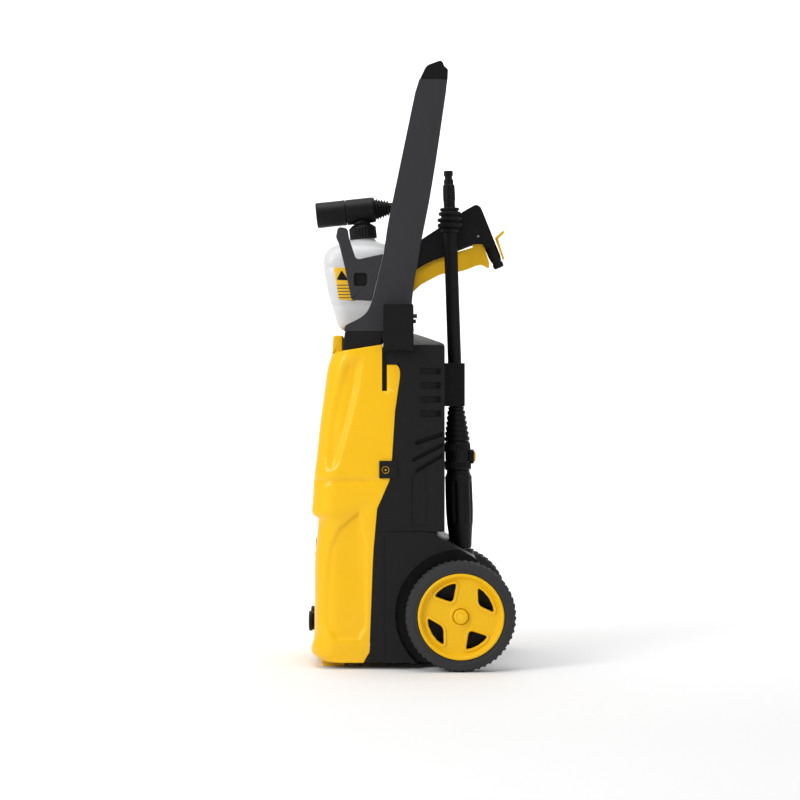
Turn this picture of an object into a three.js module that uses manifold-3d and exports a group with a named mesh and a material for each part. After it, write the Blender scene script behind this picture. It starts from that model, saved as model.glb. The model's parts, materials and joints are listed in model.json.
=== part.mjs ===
// Upright pressure washer on two wheels, with its lance, trigger gun and foam bottle stowed on it.
// Millimetres. +Z is up and the ground is Z = 0. -Y is the front (yellow cover), +Y is the rear
// (wheels, lance and gun), and +X is the machine's left side seen from the front.
import * as THREE from "three";
import { mergeVertices } from "three/addons/utils/BufferGeometryUtils.js";
import Module from "manifold-3d";

const wasm = await Module();
wasm.setup();

// ---- Driving dimensions ----

// Clearances
const SEAM = 0.4; // between fixed neighbours
const RUNNING = 0.3; // around anything that turns

// Housing
const BODY_HALF = 115; // half width of the cover and rear shell
const BASE_PROUD = 3; // how far the base housing stands out from the cover on each side
const BASE_HALF = BODY_HALF + BASE_PROUD;
const WALL = 3;
const REAR_FACE_Y = 48;
const UNDERSIDE_Z = 9.4;
const CROWN_Z = 480; // top of the rear shell on the centre line
const SHOULDER_Z = 460; // top of the rear shell at its sides
const SPLIT_Z = 195; // where the rear shell meets the base housing

// Front feet, moulded on the cover
const FOOT_X = 65;
const FOOT_WIDTH = 26;
const FOOT_FRONT_Y = -127;
const FOOT_REAR_Y = -95;

// Wheels
const WHEEL_RADIUS = 78;
const WHEEL_REAR_Y = 148;
const WHEEL_PROUD = 32; // how far the wheels stand out from the base housing
const WHEEL_OUTER_X = BASE_HALF + WHEEL_PROUD;
const TYRE_WIDTH = 36;
const TYRE_SECTION = 17; // tread to bead
const AXLE_RADIUS = 5;
const HUB_RADIUS = 15;
const ARCH_CLEARANCE = 14.5; // tyre to wheel arch
const ARCH_DEPTH = 18;
const ARCH_HALF = BASE_HALF - ARCH_DEPTH; // half width of the base between its wheel arches

// Handle and cradle
const ARM_INSET = 10; // from the body's side in to the arm's outer face
const ARM_OUTER_X = BODY_HALF - ARM_INSET;
const ARM_THICKNESS = 13;
const ARM_FOOT_Z = 480;
const ARM_TOP_Z = 839;
const PLATE_THICKNESS = 10;
const HOOK_STANDOFF = 15; // room for the wound cord between arm and hook paddle
const HOOK_PADDLE = 12;

// Foam bottle and its head
const BOTTLE_HALF = 42;
const BOTTLE_WALL = 2;
const BOTTLE_FRONT_Y = -129;
const BOTTLE_REAR_Y = -22;
const BOTTLE_FLOOR_Z = 486;
const BOTTLE_SHOULDER_Z = 617;
const BOTTLE_LEAN = THREE.MathUtils.degToRad(6);
const NECK_Y = -69;
const NECK_RADIUS = 15;
const NECK_LENGTH = 12;
const CAP_RADIUS = 20;
const CAP_HEIGHT = 22;
const BARREL_RADIUS = 18.8;
const BARREL_FLOOR_Z = 635.2; // lowest line of the barrel at its front end
const BARREL_LENGTH = 44;
const HEAD_LENGTH = 45;

// Lance, from its nozzle end upwards
const LANCE_X = 24;
const LANCE_END_Z = 165.7;
const LANCE_LEAN = THREE.MathUtils.degToRad(1.9);
const SLEEVE_RADIUS = 20.3;
const SELECTOR_RADIUS = 19.5;
const SELECTOR_STANDOFF = 5.9; // lets the leaning selector clear the rear shell
const LANCE_END_Y = REAR_FACE_Y + SELECTOR_RADIUS + SELECTOR_STANDOFF;
const SLEEVE_LENGTH = 113.8;
const SELECTOR_LENGTH = 42.5;
const CONE_LENGTH = 49.6;
const PIPE_RADIUS = 10;
const PIPE_LENGTH = 254;
const COLLAR_LENGTH = 36;
const PLUG_LENGTH = 54;
const PEG_RADIUS = 4;
const CLIP_BOTTOM_Z = 373;
const CLIP_TOP_Z = 436;
const CLIP_REAR_Y = 79;
const CLIP_WALL = 4;

// Trigger gun
const GUN_X = -16;
const GUN_HALF = 15;
const TRIGGER_HALF = 9;
const GUN_BARREL_RADIUS = 8;
const TRIGGER_PIVOT_Y = 100;
const TRIGGER_PIVOT_Z = 624;
const TRIGGER_PIN_RADIUS = 2;

// Front controls and connectors
const SWITCH_Z = 155.5;
const BEZEL_RADIUS = 25.6;
const KNOB_RADIUS = 21.4;
const CONNECTOR_X = 35;
const CONNECTOR_Z = 60.5;
const CONNECTOR_RADIUS = 14.7;
const CONNECTOR_FRONT_Y = -148;
const SOCKET_RADIUS = 6.5;

// Motor and pump, on one upright axis
const PUMP_Y = -35;
const HEAD_FLOOR_Z = 40;
const HEAD_TOP_Z = 90;
const PUMP_TOP_Z = 214.6;
const PUMP_RADIUS = 40;
const CHAMBER_RADIUS = 34;
const CHAMBER_FLOOR_Z = 170;
const PISTON_COUNT = 3;
const PISTON_RADIUS = 7;
const PISTON_CIRCLE = 20;
const MOTOR_RADIUS = 52;
const MOTOR_LENGTH = 137;
const ROTOR_RADIUS = 29.3;
const SHAFT_RADIUS = 6;
const FAN_RADIUS = 45;
const FAN_BLADES = 8;

// ---- Finishes ----

function finish(color, roughness, metalness = 0) {
  return { color, roughness, metalness };
}
const YELLOW = finish(0xf7c400, 0.3);
const RIM_YELLOW = finish(0xf0be00, 0.35);
const BLACK = finish(0x2b2a2d, 0.55);
const DEEP_BLACK = finish(0x1f1d1e, 0.5);
const HANDLE_GREY = finish(0x46464b, 0.5);
const RUBBER = finish(0x333338, 0.85);
const MILKY = finish(0xe3e3e3, 0.35);
const STEEL = finish(0xb4b4b8, 0.3, 1);
const ALUMINIUM = finish(0xa8abb0, 0.45, 1);
const COPPER_BROWN = finish(0x6d4a35, 0.6);

// ---- Shape helpers ----

const ROUND_SIDES = 16;
const WHEEL_SIDES = 32;

// A closed geometry as a solid whose faces point outwards.
function solid(geometry) {
  const bare = geometry.index ? geometry.toNonIndexed() : geometry.clone();
  bare.deleteAttribute("normal");
  bare.deleteAttribute("uv");
  const merged = mergeVertices(bare, 1e-4);
  const corners = merged.index.array;
  const kept = [];
  for (let i = 0; i < corners.length; i += 3) {
    const [a, b, c] = [corners[i], corners[i + 1], corners[i + 2]];
    if (a !== b && b !== c && c !== a) kept.push(a, b, c);
  }
  const build = (triVerts) => new wasm.Manifold(new wasm.Mesh({
    numProp: 3,
    vertProperties: new Float32Array(merged.attributes.position.array),
    triVerts: new Uint32Array(triVerts),
  }));
  const made = build(kept);
  return made.volume() < 0 ? build(kept.reverse()) : made;
}

function join(first, ...others) {
  return others.reduce((whole, piece) => whole.add(piece), first);
}

function cut(whole, ...tools) {
  return tools.reduce((left, tool) => left.subtract(tool), whole);
}

// A closed outline from points [a, b, radius]; a corner with a radius is rounded off.
function outline(points) {
  const shape = new THREE.Shape();
  const count = points.length;
  const at = (i) => new THREE.Vector2(points[(i + count) % count][0], points[(i + count) % count][1]);
  for (let i = 0; i < count; i += 1) {
    const corner = at(i);
    const radius = points[i][2] ?? 0;
    const towards = (other) => {
      const edge = other.clone().sub(corner);
      return corner.clone().add(edge.setLength(Math.min(radius, edge.length() * 0.49)));
    };
    const entry = radius ? towards(at(i - 1)) : corner;
    if (i === 0) shape.moveTo(entry.x, entry.y);
    else shape.lineTo(entry.x, entry.y);
    if (radius) {
      const leave = towards(at(i + 1));
      shape.quadraticCurveTo(corner.x, corner.y, leave.x, leave.y);
    }
  }
  shape.closePath();
  return shape;
}

// An outline carried along one axis: "x" takes (Y, Z) outlines, "y" takes (X, Z), "z" takes (X, Y).
function slab(points, axis, low, high, curveSegments = 4) {
  const shape = points instanceof THREE.Shape ? points : outline(points);
  const geometry = new THREE.ExtrudeGeometry(
    shape,
    { depth: high - low, bevelEnabled: false, curveSegments },
  );
  const [x, y, z] = [new THREE.Vector3(1, 0, 0), new THREE.Vector3(0, 1, 0), new THREE.Vector3(0, 0, 1)];
  const turn = new THREE.Matrix4();
  if (axis === "x") turn.makeBasis(y, z, x).setPosition(low, 0, 0);
  if (axis === "y") turn.makeBasis(x, z, y.clone().negate()).setPosition(0, high, 0);
  if (axis === "z") turn.setPosition(0, 0, low);
  return solid(geometry.applyMatrix4(turn));
}

function box(x0, x1, y0, y1, z0, z1) {
  const geometry = new THREE.BoxGeometry(x1 - x0, y1 - y0, z1 - z0);
  return solid(geometry.translate((x0 + x1) / 2, (y0 + y1) / 2, (z0 + z1) / 2));
}

// A profile of [radius, height] points turned about an axis that starts at `from` and points along `along`.
function turned(profile, from = [0, 0, 0], along = [0, 0, 1], sides = ROUND_SIDES) {
  const points = profile.map(([r, h]) => new THREE.Vector2(r, h));
  const geometry = new THREE.LatheGeometry(points, sides);
  const direction = new THREE.Vector3(...along).normalize();
  const swing = new THREE.Quaternion().setFromUnitVectors(new THREE.Vector3(0, 1, 0), direction);
  return solid(geometry.applyQuaternion(swing).translate(...from));
}

function rod(radius, from, to, sides = ROUND_SIDES) {
  const start = new THREE.Vector3(...from);
  const along = new THREE.Vector3(...to).sub(start);
  return turned(
    [[0, 0], [radius, 0], [radius, along.length()], [0, along.length()]],
    from,
    along.toArray(),
    sides,
  );
}

// The mirror image of a solid across the machine's centre plane.
function mirrored(piece) {
  return solid(geometryOf(piece).scale(-1, 1, 1));
}

function geometryOf(piece) {
  const made = piece.getMesh();
  const geometry = new THREE.BufferGeometry();
  geometry.setAttribute("position", new THREE.BufferAttribute(new Float32Array(made.vertProperties), 3));
  geometry.setIndex(new THREE.BufferAttribute(new Uint32Array(made.triVerts), 1));
  return geometry;
}

const washer = new THREE.Group();

function place(name, piece, look, parent = washer) {
  const geometry = geometryOf(piece);
  geometry.computeVertexNormals();
  const mesh = new THREE.Mesh(geometry, new THREE.MeshStandardMaterial(look));
  mesh.name = name;
  parent.add(mesh);
}

// Places a piece made for the +X side, and its mirror image for the other side.
function placePair(name, piece, look, parent = washer) {
  place(name + "_left", piece, look, parent);
  place(name + "_right", mirrored(piece), look, parent);
}

// ---- Housing ----

const AXLE_Y = WHEEL_REAR_Y - WHEEL_RADIUS;
const AXLE_Z = WHEEL_RADIUS;
const ARCH_RADIUS = WHEEL_RADIUS + ARCH_CLEARANCE;
const COVER_FRONT_Y = -138;
const COVER_NOSE_Y = -142.7; // the furthest forward part of the cover

// The line where the yellow cover meets the black shells, from the underside up.
const SEAM_LINE = [
  [-67.5, UNDERSIDE_Z], [-59, 24], [-54, 153], [-53, 171], [-48, 228],
  [-30, 269], [-27, 298], [-22.6, 366], [-15.5, 415.5],
];

// Front, side and top outline of the cover, from the underside forward and up to its rear top corner.
const COVER_FRONT = [
  [-128, UNDERSIDE_Z, 3], [COVER_NOSE_Y, 21], [COVER_NOSE_Y, 30], [COVER_FRONT_Y, 47, 8],
  [COVER_FRONT_Y, 140], [-136, 168, 6],
  [-132.6, 212], [COVER_NOSE_Y, 220, 1], [-141, 238], [-135.5, 298, 20], [-130, 350], [-121, 420, 10],
  [-114, 446, 6], [-98, 452],
];
const COVER_TOP_REAR = [-41, 461];
const TAB_REAR_Y = -16;
const TAB_TOP_Z = 432;
const SLOT_FRONT_Y = -41;
const SLOT_REAR_Y = -34;
const SLOT_FOOT_Z = 395;
const LIP_TOP_Z = 475;
const PLAN_REAR_Y = 10; // the plan block reaches behind the cover's rear edge
const CORNER = 34; // rounding of the cover's upright front corners, seen from above

const coverSide = [
  ...COVER_FRONT, COVER_TOP_REAR, [SLOT_REAR_Y, TAB_TOP_Z], [TAB_REAR_Y, TAB_TOP_Z, 6],
  ...SEAM_LINE.slice().reverse(),
];

// A body plan with round front corners, carried up as an upright block.
function planBlock(half, frontY, rearY, corner, low, high) {
  const plan = [[-half, frontY, corner], [half, frontY, corner], [half, rearY], [-half, rearY]];
  return slab(plan, "z", low, high, 4);
}

// The side outline moved inwards by a wall thickness, open towards the rear.
function coverCavity() {
  const inside = COVER_FRONT.map(([y, z]) => [y + WALL + 1, Math.max(z, UNDERSIDE_Z + WALL)]);
  inside.pop();
  inside.push(
    [-98, 452 - WALL],
    [COVER_TOP_REAR[0], COVER_TOP_REAR[1] - WALL],
    [0, COVER_TOP_REAR[1] - WALL],
  );
  inside.push([0, UNDERSIDE_Z + WALL]);
  const side = slab(inside, "x", -BODY_HALF + WALL, BODY_HALF - WALL);
  const plan = planBlock(BODY_HALF - WALL, COVER_NOSE_Y + WALL, PLAN_REAR_Y, CORNER - WALL, 0, LIP_TOP_Z);
  return side.intersect(plan);
}

function frontCover() {
  const outer = slab(coverSide, "x", -BODY_HALF, BODY_HALF)
    .intersect(planBlock(BODY_HALF, COVER_NOSE_Y, PLAN_REAR_Y, CORNER, 0, LIP_TOP_Z));
  const lipHalf = BODY_HALF - CORNER;
  const lip = slab(
    [[-113.5, 446], [-98, 446], [-98, LIP_TOP_Z, 2], [-111, LIP_TOP_Z, 3]],
    "x",
    -lipHalf,
    lipHalf,
  );
  const foot = [[FOOT_FRONT_Y - 3, 13], [FOOT_FRONT_Y, 0, 1], [FOOT_REAR_Y, 0, 1], [FOOT_REAR_Y + 4, 13]];
  const feet = [-FOOT_X, FOOT_X].map((x) => slab(foot, "x", x - FOOT_WIDTH / 2, x + FOOT_WIDTH / 2));
  const slot = slab(
    [
      [SLOT_FRONT_Y, SLOT_FOOT_Z, 2], [SLOT_REAR_Y, SLOT_FOOT_Z, 2], [SLOT_REAR_Y, 470],
      [SLOT_FRONT_Y, 470],
    ],
    "x", -BODY_HALF - 1, BODY_HALF + 1,
  );
  const panel = slab(
    [[-128, 72, 8], [-78, 60, 8], [-74, 150, 8], [-100, 190, 8], [-128, 176, 8]],
    "x", BODY_HALF - 1.4, BODY_HALF + 1,
  );
  const bezelHole = rod(BEZEL_RADIUS + SEAM, [0, -150, SWITCH_Z], [0, -120, SWITCH_Z]);
  const connectorHoles = [-CONNECTOR_X, CONNECTOR_X].map(
    (x) => rod(CONNECTOR_RADIUS + SEAM, [x, -150, CONNECTOR_Z], [x, -120, CONNECTOR_Z]),
  );
  const screwHoles = [-1, 1].map((side) => rod(
    SCREW_RADIUS + SEAM,
    [side * (BODY_HALF - WALL - 1), SCREW_Y, SCREW_Z],
    [side * (BODY_HALF + 1), SCREW_Y, SCREW_Z],
  ));
  const shell = cut(join(outer, lip), coverCavity(), slot, bezelHole, ...connectorHoles, ...screwHoles);
  return cut(join(shell, ...feet), panel, mirrored(panel));
}

// Screws that hold the cover to the rear shell, one on each side
const SCREW_Y = -36;
const SCREW_Z = 283;
const SCREW_RADIUS = 5;

function coverScrew() {
  const head = turned([
    [0, 0], [SCREW_RADIUS * 0.6, 0], [SCREW_RADIUS * 0.6, 4], [SCREW_RADIUS, 4], [SCREW_RADIUS, 6.4],
    [SCREW_RADIUS * 0.75, 7.4], [0, 7.4],
  ], [BODY_HALF - 7, SCREW_Y, SCREW_Z], [1, 0, 0], 16);
  const drive = box(BODY_HALF - 1, BODY_HALF + 2, SCREW_Y - 0.7, SCREW_Y + 0.7, SCREW_Z - 3, SCREW_Z + 3);
  return cut(head, drive);
}

// The part of the seam between two heights, moved back by the clearance.
function seamBehind(low, high) {
  const at = (z) => {
    const upper = SEAM_LINE.findIndex(([, height]) => height >= z);
    const [[y0, z0], [y1, z1]] = [SEAM_LINE[upper - 1], SEAM_LINE[upper]];
    return [y0 + ((z - z0) / (z1 - z0)) * (y1 - y0) + SEAM, z];
  };
  const between = SEAM_LINE.filter(([, z]) => z > low && z < high).map(([y, z]) => [y + SEAM, z]);
  return [at(low), ...between, at(high)];
}

// Height of the rear shell's crowned top at a distance from the centre plane.
function crownHeight(x) {
  return SHOULDER_Z + (CROWN_Z - SHOULDER_Z) * (1 - (x / BODY_HALF) ** 2);
}

function rearShell() {
  const side = [
    ...seamBehind(SPLIT_Z + SEAM, SEAM_LINE.at(-1)[1]), [TAB_REAR_Y + SEAM, TAB_TOP_Z + SEAM],
    [-33.6, TAB_TOP_Z + SEAM], [-33.6, CROWN_Z - 12, 8], [-22, CROWN_Z, 8], [4, CROWN_Z],
    [REAR_FACE_Y, 462, 5], [REAR_FACE_Y, SPLIT_Z + SEAM],
  ];
  const inside = [
    [-60, 100], [-60, TAB_TOP_Z - 20], [-30, TAB_TOP_Z], [-30, SHOULDER_Z - 2 * WALL],
    [REAR_FACE_Y - WALL, SHOULDER_Z - 3 * WALL], [REAR_FACE_Y - WALL, 100],
  ];
  const crown = new THREE.Shape();
  crown.moveTo(-BODY_HALF, 100);
  crown.lineTo(BODY_HALF, 100);
  crown.lineTo(BODY_HALF, SHOULDER_Z);
  crown.quadraticCurveTo(0, 2 * CROWN_Z - SHOULDER_Z, -BODY_HALF, SHOULDER_Z);
  const crowned = slab(crown, "y", -120, 60, 10);
  const shell = cut(
    slab(side, "x", -BODY_HALF, BODY_HALF).intersect(crowned),
    slab(inside, "x", -BODY_HALF + WALL, BODY_HALF - WALL),
    ...vents(),
  );
  // Tongues behind the cover's slots, joined to the shell at the top of its front edge.
  const tongue = box(
    BODY_HALF - 2 * WALL - 1, BODY_HALF - WALL - 1, -46, -8, SLOT_FOOT_Z - 6, TAB_TOP_Z - 14,
  );
  const tie = box(BODY_HALF - 2 * WALL - 1, BODY_HALF - 1, -13, -8, SLOT_FOOT_Z - 6, TAB_TOP_Z - 14);
  return join(shell, tongue, tie, mirrored(tongue), mirrored(tie), screwTab(), mirrored(screwTab()));
}

// The tab of the rear shell that lies on the cover's side and holds it with a screw.
const TAB_LIFT = 2.4;

function screwTab() {
  const [low, high] = [SCREW_Z - 12, SCREW_Z + 13];
  const flap = slab(
    [[SCREW_Y - 9, low, 1], [-20, low, 1], [-20, high, 1], [SCREW_Y - 9, high, 1]],
    "x", BODY_HALF + SEAM, BODY_HALF + TAB_LIFT,
  );
  const root = box(BODY_HALF - WALL + 1, BODY_HALF + TAB_LIFT, -26, -20, low, high);
  const hole = rod(SCREW_RADIUS + SEAM, [BODY_HALF, SCREW_Y, SCREW_Z], [BODY_HALF + 5, SCREW_Y, SCREW_Z]);
  return cut(join(flap, root), hole);
}

// Louvres and slanted slots on both sides of the rear shell.
const LOUVRE_TOPS = [428, 408, 388, 368];
const LOUVRE_HEIGHT = 10;
const LOUVRE_DEPTH = 1.6;
const SLANTED_SLOTS = [[6, 324, 45, 337], [2, 300, 45, 322], [7, 285, 45, 307]];
const SLANTED_SLOT_HEIGHT = 6.5;

function vents() {
  const outside = BODY_HALF + 1;
  const grooves = LOUVRE_TOPS.map((top) => slab(
    [[13, top - LOUVRE_HEIGHT, 2], [43, top - LOUVRE_HEIGHT, 2], [43, top, 2], [13, top, 2]],
    "x", BODY_HALF - LOUVRE_DEPTH, outside, 2,
  ));
  const holes = LOUVRE_TOPS.map((top) => box(BODY_HALF - 2 * WALL, outside, 35.5, 42, top - 9, top - 1));
  const slots = SLANTED_SLOTS.map(([y0, z0, y1, z1]) => slab(
    [[y0, z0 - SLANTED_SLOT_HEIGHT, 2], [y1, z1 - SLANTED_SLOT_HEIGHT], [y1, z1], [y0, z0, 2]],
    "x", BODY_HALF - 2 * WALL, outside, 2,
  ));
  const recess = slab(
    [[1, 204], [22.5, 204], [22.5, 283], [9, 283], [1, 272]],
    "x",
    BODY_HALF - LOUVRE_DEPTH,
    outside,
  );
  const oneSide = [...grooves, ...holes, ...slots, recess];
  return [...oneSide, ...oneSide.map(mirrored)];
}

// Top of the base housing slopes down towards the rear over the axle.
const baseSide = [
  ...seamBehind(UNDERSIDE_Z + SEAM, SPLIT_Z), [27.5, SPLIT_Z, 4], [95, 155, 6], [97, 120, 6],
  [92, 30, 8], [70, UNDERSIDE_Z + SEAM],
];

function baseHousing() {
  const inside = [
    [-80, UNDERSIDE_Z - 5], [-80, SPLIT_Z - WALL], [26, SPLIT_Z - WALL], [92, 152], [94, 120],
    [89, UNDERSIDE_Z - 5],
  ];
  const arch = (radius, inner) => rod(radius, [inner, AXLE_Y, AXLE_Z], [BASE_HALF + 5, AXLE_Y, AXLE_Z], 28);
  const archCut = arch(ARCH_RADIUS, ARCH_HALF);
  const archGuard = arch(ARCH_RADIUS + WALL, ARCH_HALF - WALL);
  const bandBlock = (rearY, topZ, innerX) => slab(
    [[-80, 0], [rearY, 0], [rearY, topZ - 7], [rearY + 8, topZ], [-80, topZ]], "x", innerX, BASE_HALF + 1,
  );
  const frontBand = bandBlock(BAND_REAR_Y, SPLIT_Z + 1, BODY_HALF);
  const bandGuard = bandBlock(BAND_REAR_Y + WALL, SPLIT_Z + 1, BODY_HALF - WALL);
  const wide = cut(
    slab(inside, "x", -BASE_HALF + WALL, BASE_HALF - WALL),
    archGuard, mirrored(archGuard), bandGuard, mirrored(bandGuard),
  );
  const motorBay = box(-80, 80, -80, REAR_FACE_Y - WALL, SPLIT_Z - 2 * WALL, SPLIT_Z + 5);
  const axleBore = rod(AXLE_RADIUS + RUNNING, [-BASE_HALF, AXLE_Y, AXLE_Z], [BASE_HALF, AXLE_Y, AXLE_Z]);
  const glandHole = rod(GLAND_RADIUS + SEAM, [GLAND_X, 80, GLAND_Z], [GLAND_X, 105, GLAND_Z]);
  const shell = cut(
    slab(baseSide, "x", -BASE_HALF, BASE_HALF),
    frontBand, mirrored(frontBand), archCut, mirrored(archCut), wide, motorBay, axleBore, glandHole,
  );
  const stand = rod(STAND_RADIUS, [LANCE_X, LANCE_END_Y, 140], [LANCE_X, LANCE_END_Y, STAND_TOP_Z]);
  const room = rod(
    SLEEVE_RADIUS + 2, [LANCE_X, LANCE_END_Y, STAND_TOP_Z], [LANCE_X, LANCE_END_Y, SPLIT_Z + 5],
  );
  return cut(join(shell, stand), room);
}

// Behind this line the base's sides stand proud of the cover's.
const BAND_REAR_Y = -36;

// The flat stand in the base on which the nozzle end of the lance rests
const STAND_RADIUS = 19;
const STAND_TOP_Z = LANCE_END_Z - 1;

// Cable gland in the rear of the base
const GLAND_X = -60;
const GLAND_Z = 118;
const GLAND_RADIUS = 8;

function cableGland() {
  return turned([
    [3.5, 0], [GLAND_RADIUS, 0], [GLAND_RADIUS, 15], [GLAND_RADIUS + 3, 15], [GLAND_RADIUS + 3, 19],
    [GLAND_RADIUS - 2, 32], [3.5, 32], [3.5, 0],
  ], [GLAND_X, 82, GLAND_Z], [0, 1, 0]);
}

function basePlate() {
  const half = ARCH_HALF - 2 * WALL;
  const tray = box(-half, half, -57, 84, UNDERSIDE_Z + 0.4, UNDERSIDE_Z + 4.4);
  const ribs = [-60, 60].map((x) => box(x - 2, x + 2, -50, 60, UNDERSIDE_Z + 4, UNDERSIDE_Z + 14));
  return join(tray, ...ribs);
}

place("front_cover", frontCover(), YELLOW);
placePair("cover_screw", coverScrew(), STEEL);
place("rear_shell", rearShell(), BLACK);
place("base_housing", baseHousing(), BLACK);
place("base_plate", basePlate(), BLACK);
place("cable_gland", cableGland(), DEEP_BLACK);

// ---- Handle and cradle ----

const ARM_INNER_X = ARM_OUTER_X - ARM_THICKNESS;
// Arm outlines, from the foot up: the rear edge, then down the front edge to the flared foot.
const ARM_REAR = [
  [4.4, ARM_FOOT_Z], [1.6, 522], [4, 545, 20], [17, 624], [29, 684], [39, 744], [50, 820],
  [52, ARM_TOP_Z],
];
const ARM_FRONT = [
  [12, ARM_TOP_Z], [6, 820], [-11, 735], [-24, 675], [-33, 633, 20], [-39, 590], [-55, 523, 14],
];
const ARM_FLARE = [[-64, 503, 14], [-94, 488, 3], [-95, ARM_FOOT_Z]];
// The rear bevel starts along this lean on the outer face and ends on the arm's rear edge.
const BEVEL_FOOT = [-24, 505];
const BEVEL_HEAD = [40.5, 842];
const BEVEL_DEPTH = 8;

function handleArm() {
  const blade = slab([...ARM_REAR, ...ARM_FRONT, ...ARM_FLARE], "x", ARM_INNER_X, ARM_OUTER_X);
  const rise = BEVEL_HEAD[1] - BEVEL_FOOT[1];
  const lean = Math.atan2(BEVEL_HEAD[0] - BEVEL_FOOT[0], rise);
  const length = rise / Math.cos(lean);
  const reach = 34;
  const section = new THREE.Shape([
    [1, 0], [1, reach], [-BEVEL_DEPTH, reach],
  ].map(([x, y]) => new THREE.Vector2(x, y)));
  const wedge = new THREE.ExtrudeGeometry(section, { depth: length, bevelEnabled: false });
  wedge.rotateX(-lean).translate(ARM_OUTER_X, BEVEL_FOOT[0], BEVEL_FOOT[1]);
  const catchTab = box(ARM_INNER_X + 2, ARM_OUTER_X - BEVEL_DEPTH, -4, 9, 499, 505);
  const hookStud = rod(
    HOOK_STUD_RADIUS + SEAM, [ARM_OUTER_X - 6, HOOK_Y, HOOK_Z], [ARM_OUTER_X + 1, HOOK_Y, HOOK_Z],
  );
  const socket = box(
    ARM_INNER_X - 1, ARM_INNER_X + 5, BAR_FRONT_Y - SEAM, BAR_REAR_Y + SEAM, BAR_FLOOR_Z - SEAM,
    BAR_TOP_Z + SEAM,
  );
  return cut(join(cut(blade, solid(wedge)), catchTab), hookStud, socket);
}

// The black top grip joins the two arms and caps their ends.
function handleGrip() {
  const low = ARM_TOP_Z + SEAM;
  const profile = [
    [13, low], [22, low + 19, 5], [44, low + 27, 5], [48, low + 17, 3], [53, low + 14, 3],
    [52.4, low],
  ];
  const bar = slab(profile, "x", -ARM_OUTER_X, ARM_OUTER_X);
  const inside = ARM_INNER_X - SEAM;
  const handhold = slab(
    [[16, low + 5, 4], [24, low + 16, 4], [42, low + 20, 4], [48, low + 5, 4]],
    "x",
    -inside,
    inside,
  );
  const cheeks = [-1, 1].map((side) => {
    const [a, b] = [side * inside, side * (inside - 7)].sort((p, q) => p - q);
    return slab([[9, 812, 3], [17, low + 6], [46, low + 6], [44, 812, 3]], "x", a, b);
  });
  return join(bar, handhold, ...cheeks);
}

// Each cradle plate stands in front of an arm and ends in an upright hook beside the bottle.
const CRADLE_PLATE = [
  [-55.6, 523.4], [-85, 525, 3], [-94, 570], [-102, 603], [-107, 614, 3], [-104, 629, 5], [-90, 627, 5],
  [-88, 612, 8], [-78, 582, 6], [-39.5, 590.4],
];
const RECESS_SIZE = 19.5;
const RECESS_DEPTH = 5;
const RAIL_CLEARANCE = 1.8; // cradle rails above the crowned rear shell

function cradlePlate() {
  const plate = slab(CRADLE_PLATE, "x", ARM_OUTER_X - PLATE_THICKNESS, ARM_OUTER_X);
  const [y, z] = [-81.5, 544];
  const square = [
    [y, z, 5], [y + RECESS_SIZE, z, 5], [y + RECESS_SIZE, z + RECESS_SIZE, 5],
    [y, z + RECESS_SIZE, 5],
  ];
  return cut(plate, slab(square, "x", ARM_OUTER_X - RECESS_DEPTH, ARM_OUTER_X + 1));
}

// The cradle floor sits on the cover's top and carries the bottle, the arms and the plates.
function cradleFloor() {
  const frontZ = 452 + SEAM;
  const rearZ = COVER_TOP_REAR[1] + SEAM;
  const base = slab(
    [[-97.6, frontZ], [-94, ARM_FOOT_Z - SEAM], [-42, ARM_FOOT_Z - SEAM], [-42, rearZ]],
    "x", -ARM_OUTER_X, ARM_OUTER_X,
  );
  const pad = box(-BOTTLE_HALF - 6, BOTTLE_HALF + 6, -93, -42, ARM_FOOT_Z - 2, BOTTLE_FLOOR_Z - SEAM);
  const railFloor = crownHeight(ARM_INNER_X) + RAIL_CLEARANCE;
  const rail = box(ARM_INNER_X, ARM_OUTER_X, -43, 3, railFloor, ARM_FOOT_Z - SEAM);
  return join(base, pad, rail, mirrored(rail));
}

// Stand-off hooks on the arms' feet, round which the cord is wound.
const HOOK_Y = -17.9;
const HOOK_Z = 490;
const HOOK_STUD_RADIUS = 6;

function cordHook() {
  const root = ARM_OUTER_X + SEAM;
  const face = root + HOOK_STANDOFF;
  const paddle = slab(
    [[-39.5, 451, 3], [-18, 455, 20], [3.7, 451, 3], [3.7, 518, 4], [-39.5, 518, 4]], "x", face,
    face + HOOK_PADDLE,
  );
  const stem = slab([[-34, 466, 4], [-2, 466, 4], [-2, 500, 4], [-34, 500, 4]], "x", root, face + 2);
  const stud = rod(HOOK_STUD_RADIUS, [root - 5, HOOK_Y, HOOK_Z], [root + 1, HOOK_Y, HOOK_Z]);
  return join(paddle, stem, stud);
}

// The bar between the arms, with the two ears and the saddle that hold the gun's front end.
const BAR_FRONT_Y = -22;
const BAR_REAR_Y = -8;
const BAR_FLOOR_Z = 508;
const BAR_TOP_Z = 524;
const EAR_CLEARANCE = 0.8;

function gunHolder() {
  const half = ARM_INNER_X + 4;
  const bar = box(-half, half, BAR_FRONT_Y, BAR_REAR_Y, BAR_FLOOR_Z, BAR_TOP_Z);
  const earSide = [
    [BAR_FRONT_Y, BAR_TOP_Z - 6], [BAR_FRONT_Y, 575, 6], [0, 575, 6], [0, 548],
    [BAR_REAR_Y, BAR_TOP_Z - 6],
  ];
  const inner = GUN_HALF + EAR_CLEARANCE;
  const ears = [-1, 1].map((side) => {
    const [a, b] = [GUN_X + side * inner, GUN_X + side * (inner + 4)].sort((p, q) => p - q);
    return slab(earSide, "x", a, b);
  });
  const saddle = box(
    GUN_X - inner - 1, GUN_X + inner + 1, BAR_FRONT_Y, BAR_REAR_Y, BAR_TOP_Z - 1,
    GUN_FLOOR_Z - SEAM,
  );
  return join(bar, ...ears, saddle);
}

const handle = new THREE.Group();
washer.add(handle);

// ---- Wheels ----

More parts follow.
